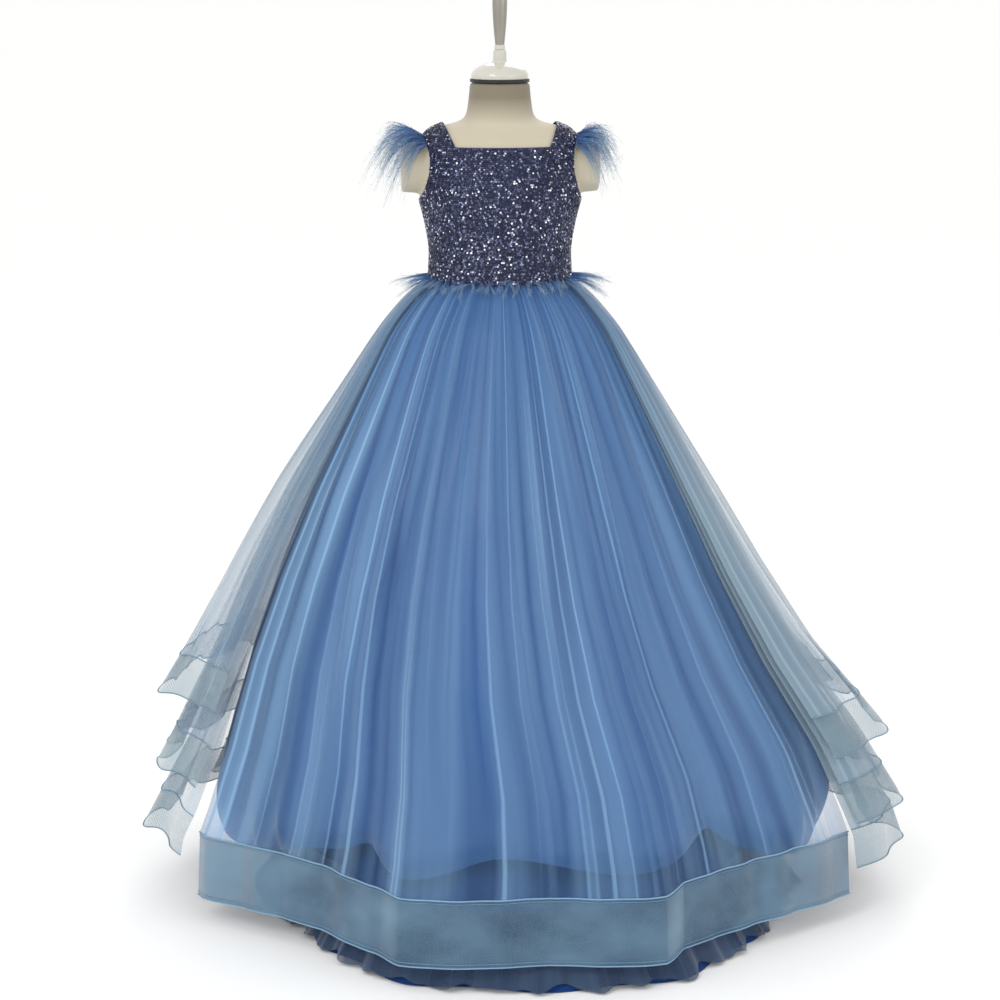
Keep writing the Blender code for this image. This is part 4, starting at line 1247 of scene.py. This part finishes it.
turned(
    "neck_ring", ((1.1083, 0.0385), (1.1088, 0.0390), (1.1120, 0.0390), (1.1125, 0.0385)), rubber,
    "form_neck_ring",
)
dome = [(1.1128, 0.0372)]
for k in range(12):
    angle = math.radians(4 + 6.2 * k)
    dome.append((1.1158 + 0.0185 * math.sin(angle), 0.0378 * math.cos(angle)))
dome += [(1.1350, 0.0100), (1.1365, 0.0088), (1.1488, 0.0087), (1.1495, 0.0080)]
turned("neck_cap", dome, enamel, "form_cap")
turned(
    "cap_collar", ((1.1498, 0.0064), (1.1504, 0.0070), (1.1554, 0.0070), (1.1560, 0.0064)), enamel,
    "form_collar",
)
finial = [(1.1563, 0.0060)]
for k in range(1, 11):
    share = k / 10
    finial.append((1.1563 + 0.0567 * share, 0.0060 + 0.0037 * math.sin(share * math.pi / 2)))
for k in range(1, 8):
    angle = math.radians(12 * k)
    finial.append((1.2130 + 0.0160 * math.sin(angle), 0.0097 * math.cos(angle)))
turned("cap_finial", finial, steel, "form_finial")
turned("stand_pole", ((0.0243, 0.0125), (0.6997, 0.0125)), steel, "form_pole", middle_y=0)
turned(
    "stand_base",
    (
        (0, 0.139), (0.001, 0.140), (0.007, 0.140), (0.0085, 0.1385), (0.013, 0.130), (0.018, 0.035),
        (0.024, 0.020),
    ),
    enamel,
    "form_base",
    middle_y=0,
)


# The zip's slider and pull tab keep their solids, with their own finish
for node in ("zip_slider", "pull_tab"):
    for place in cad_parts[node].material_slots:
        place.material = nickel


def tape_weave_strip():
    """The zip's tape, which follows the bodice's back from the neckline to the waist."""
    heights = np.linspace(ZIP_TOP, BODICE_BOTTOM, 44)
    sides = np.linspace(-ZIP_HALF_WIDTH, ZIP_HALF_WIDTH, 7)
    points = np.zeros((len(heights), len(sides), 3))
    points[..., 0] = sides
    depth, back = (at_height(BODICE_SECTIONS, heights, column) for column in (2, 3))
    points[..., 1] = (depth + back)[:, None]
    points[..., 1] -= 0.0004
    points[..., 2] = heights[:, None]
    return cloth("zip_tape_cloth", points, tape_weave)


zip_tape = dress(tape_weave_strip(), "zip_tape")


BOX_FACES = ((3, 2, 1, 0), (4, 5, 6, 7), (0, 1, 5, 4), (1, 2, 6, 5), (2, 3, 7, 6), (3, 0, 4, 7))


def zip_coil():
    """Two rows of nylon loops that meet along the middle of the tape."""
    points, faces = [], []
    for k in range(COIL_LOOPS):
        z = COIL_BOTTOM + COIL_STEP * k
        back = float(at_height(BODICE_SECTIONS, z, 2) + at_height(BODICE_SECTIONS, z, 3))
        for side in (-1, 1):
            low_x, high_x = sorted((side * 0.0001, side * 0.0016))
            low_y, high_y = back - 0.0002, back + 0.0006
            first = len(points)
            for height in (z + side * COIL_HALF - COIL_HALF, z + side * COIL_HALF + COIL_HALF):
                points += [
                    (low_x, low_y, height),
                    (high_x, low_y, height),
                    (high_x, high_y, height),
                    (low_x, high_y, height),
                ]
            for face in BOX_FACES:
                faces.append(tuple(first + c for c in face))
    return solid("zip_coils", points, faces, tape_weave)


coils = dress(zip_coil(), None)


bpy.ops.object.select_all(action="DESELECT")
bpy.ops.mesh.primitive_plane_add(size=240, location=(0, 0, 0))
floor = bpy.context.object
floor.name = "floor"
bpy.ops.object.transform_apply(location=True, rotation=True, scale=True)
floor.data.materials.append(floor_paint)


def softbox(name, place, aim, size, power):
    """A round studio light that faces a point."""
    data = bpy.data.lights.new(name, "AREA")
    data.shape = "DISK"
    data.size = size
    data.energy = power
    lamp = bpy.data.objects.new(name, data)
    lamp.location = place
    lamp.rotation_euler = (Vector(aim) - Vector(place)).to_track_quat("-Z", "Y").to_euler()
    bpy.context.scene.collection.objects.link(lamp)


softbox("key_light", (-2.0, -2.9, 3.0), (0, 0, 0.6), size=1.6, power=46)
softbox("fill_light", (2.6, -2.6, 1.8), (0, 0, 0.6), size=2.2, power=12)
softbox("back_light", (0.6, 2.8, 2.8), (0, 0, 0.7), size=2.0, power=22)
world = bpy.data.worlds.new("studio")
world.use_nodes = True
sky = world.node_tree.nodes["Background"]
sky.inputs["Color"].default_value = colour("#FFFFFF")
sky.inputs["Strength"].default_value = 1.06
bpy.context.scene.world = world
bpy.context.scene.view_settings.view_transform = "Standard"

camera_data = bpy.data.cameras.new("camera")
camera_data.lens = 95.4
camera_data.sensor_width = 36.0
camera = bpy.data.objects.new("camera", camera_data)
camera.location = (-0.244, -3.491, 1.297)
camera.rotation_euler = (math.radians(90 - 12.05), 0, math.radians(-4))
bpy.context.scene.collection.objects.link(camera)
bpy.context.scene.camera = camera
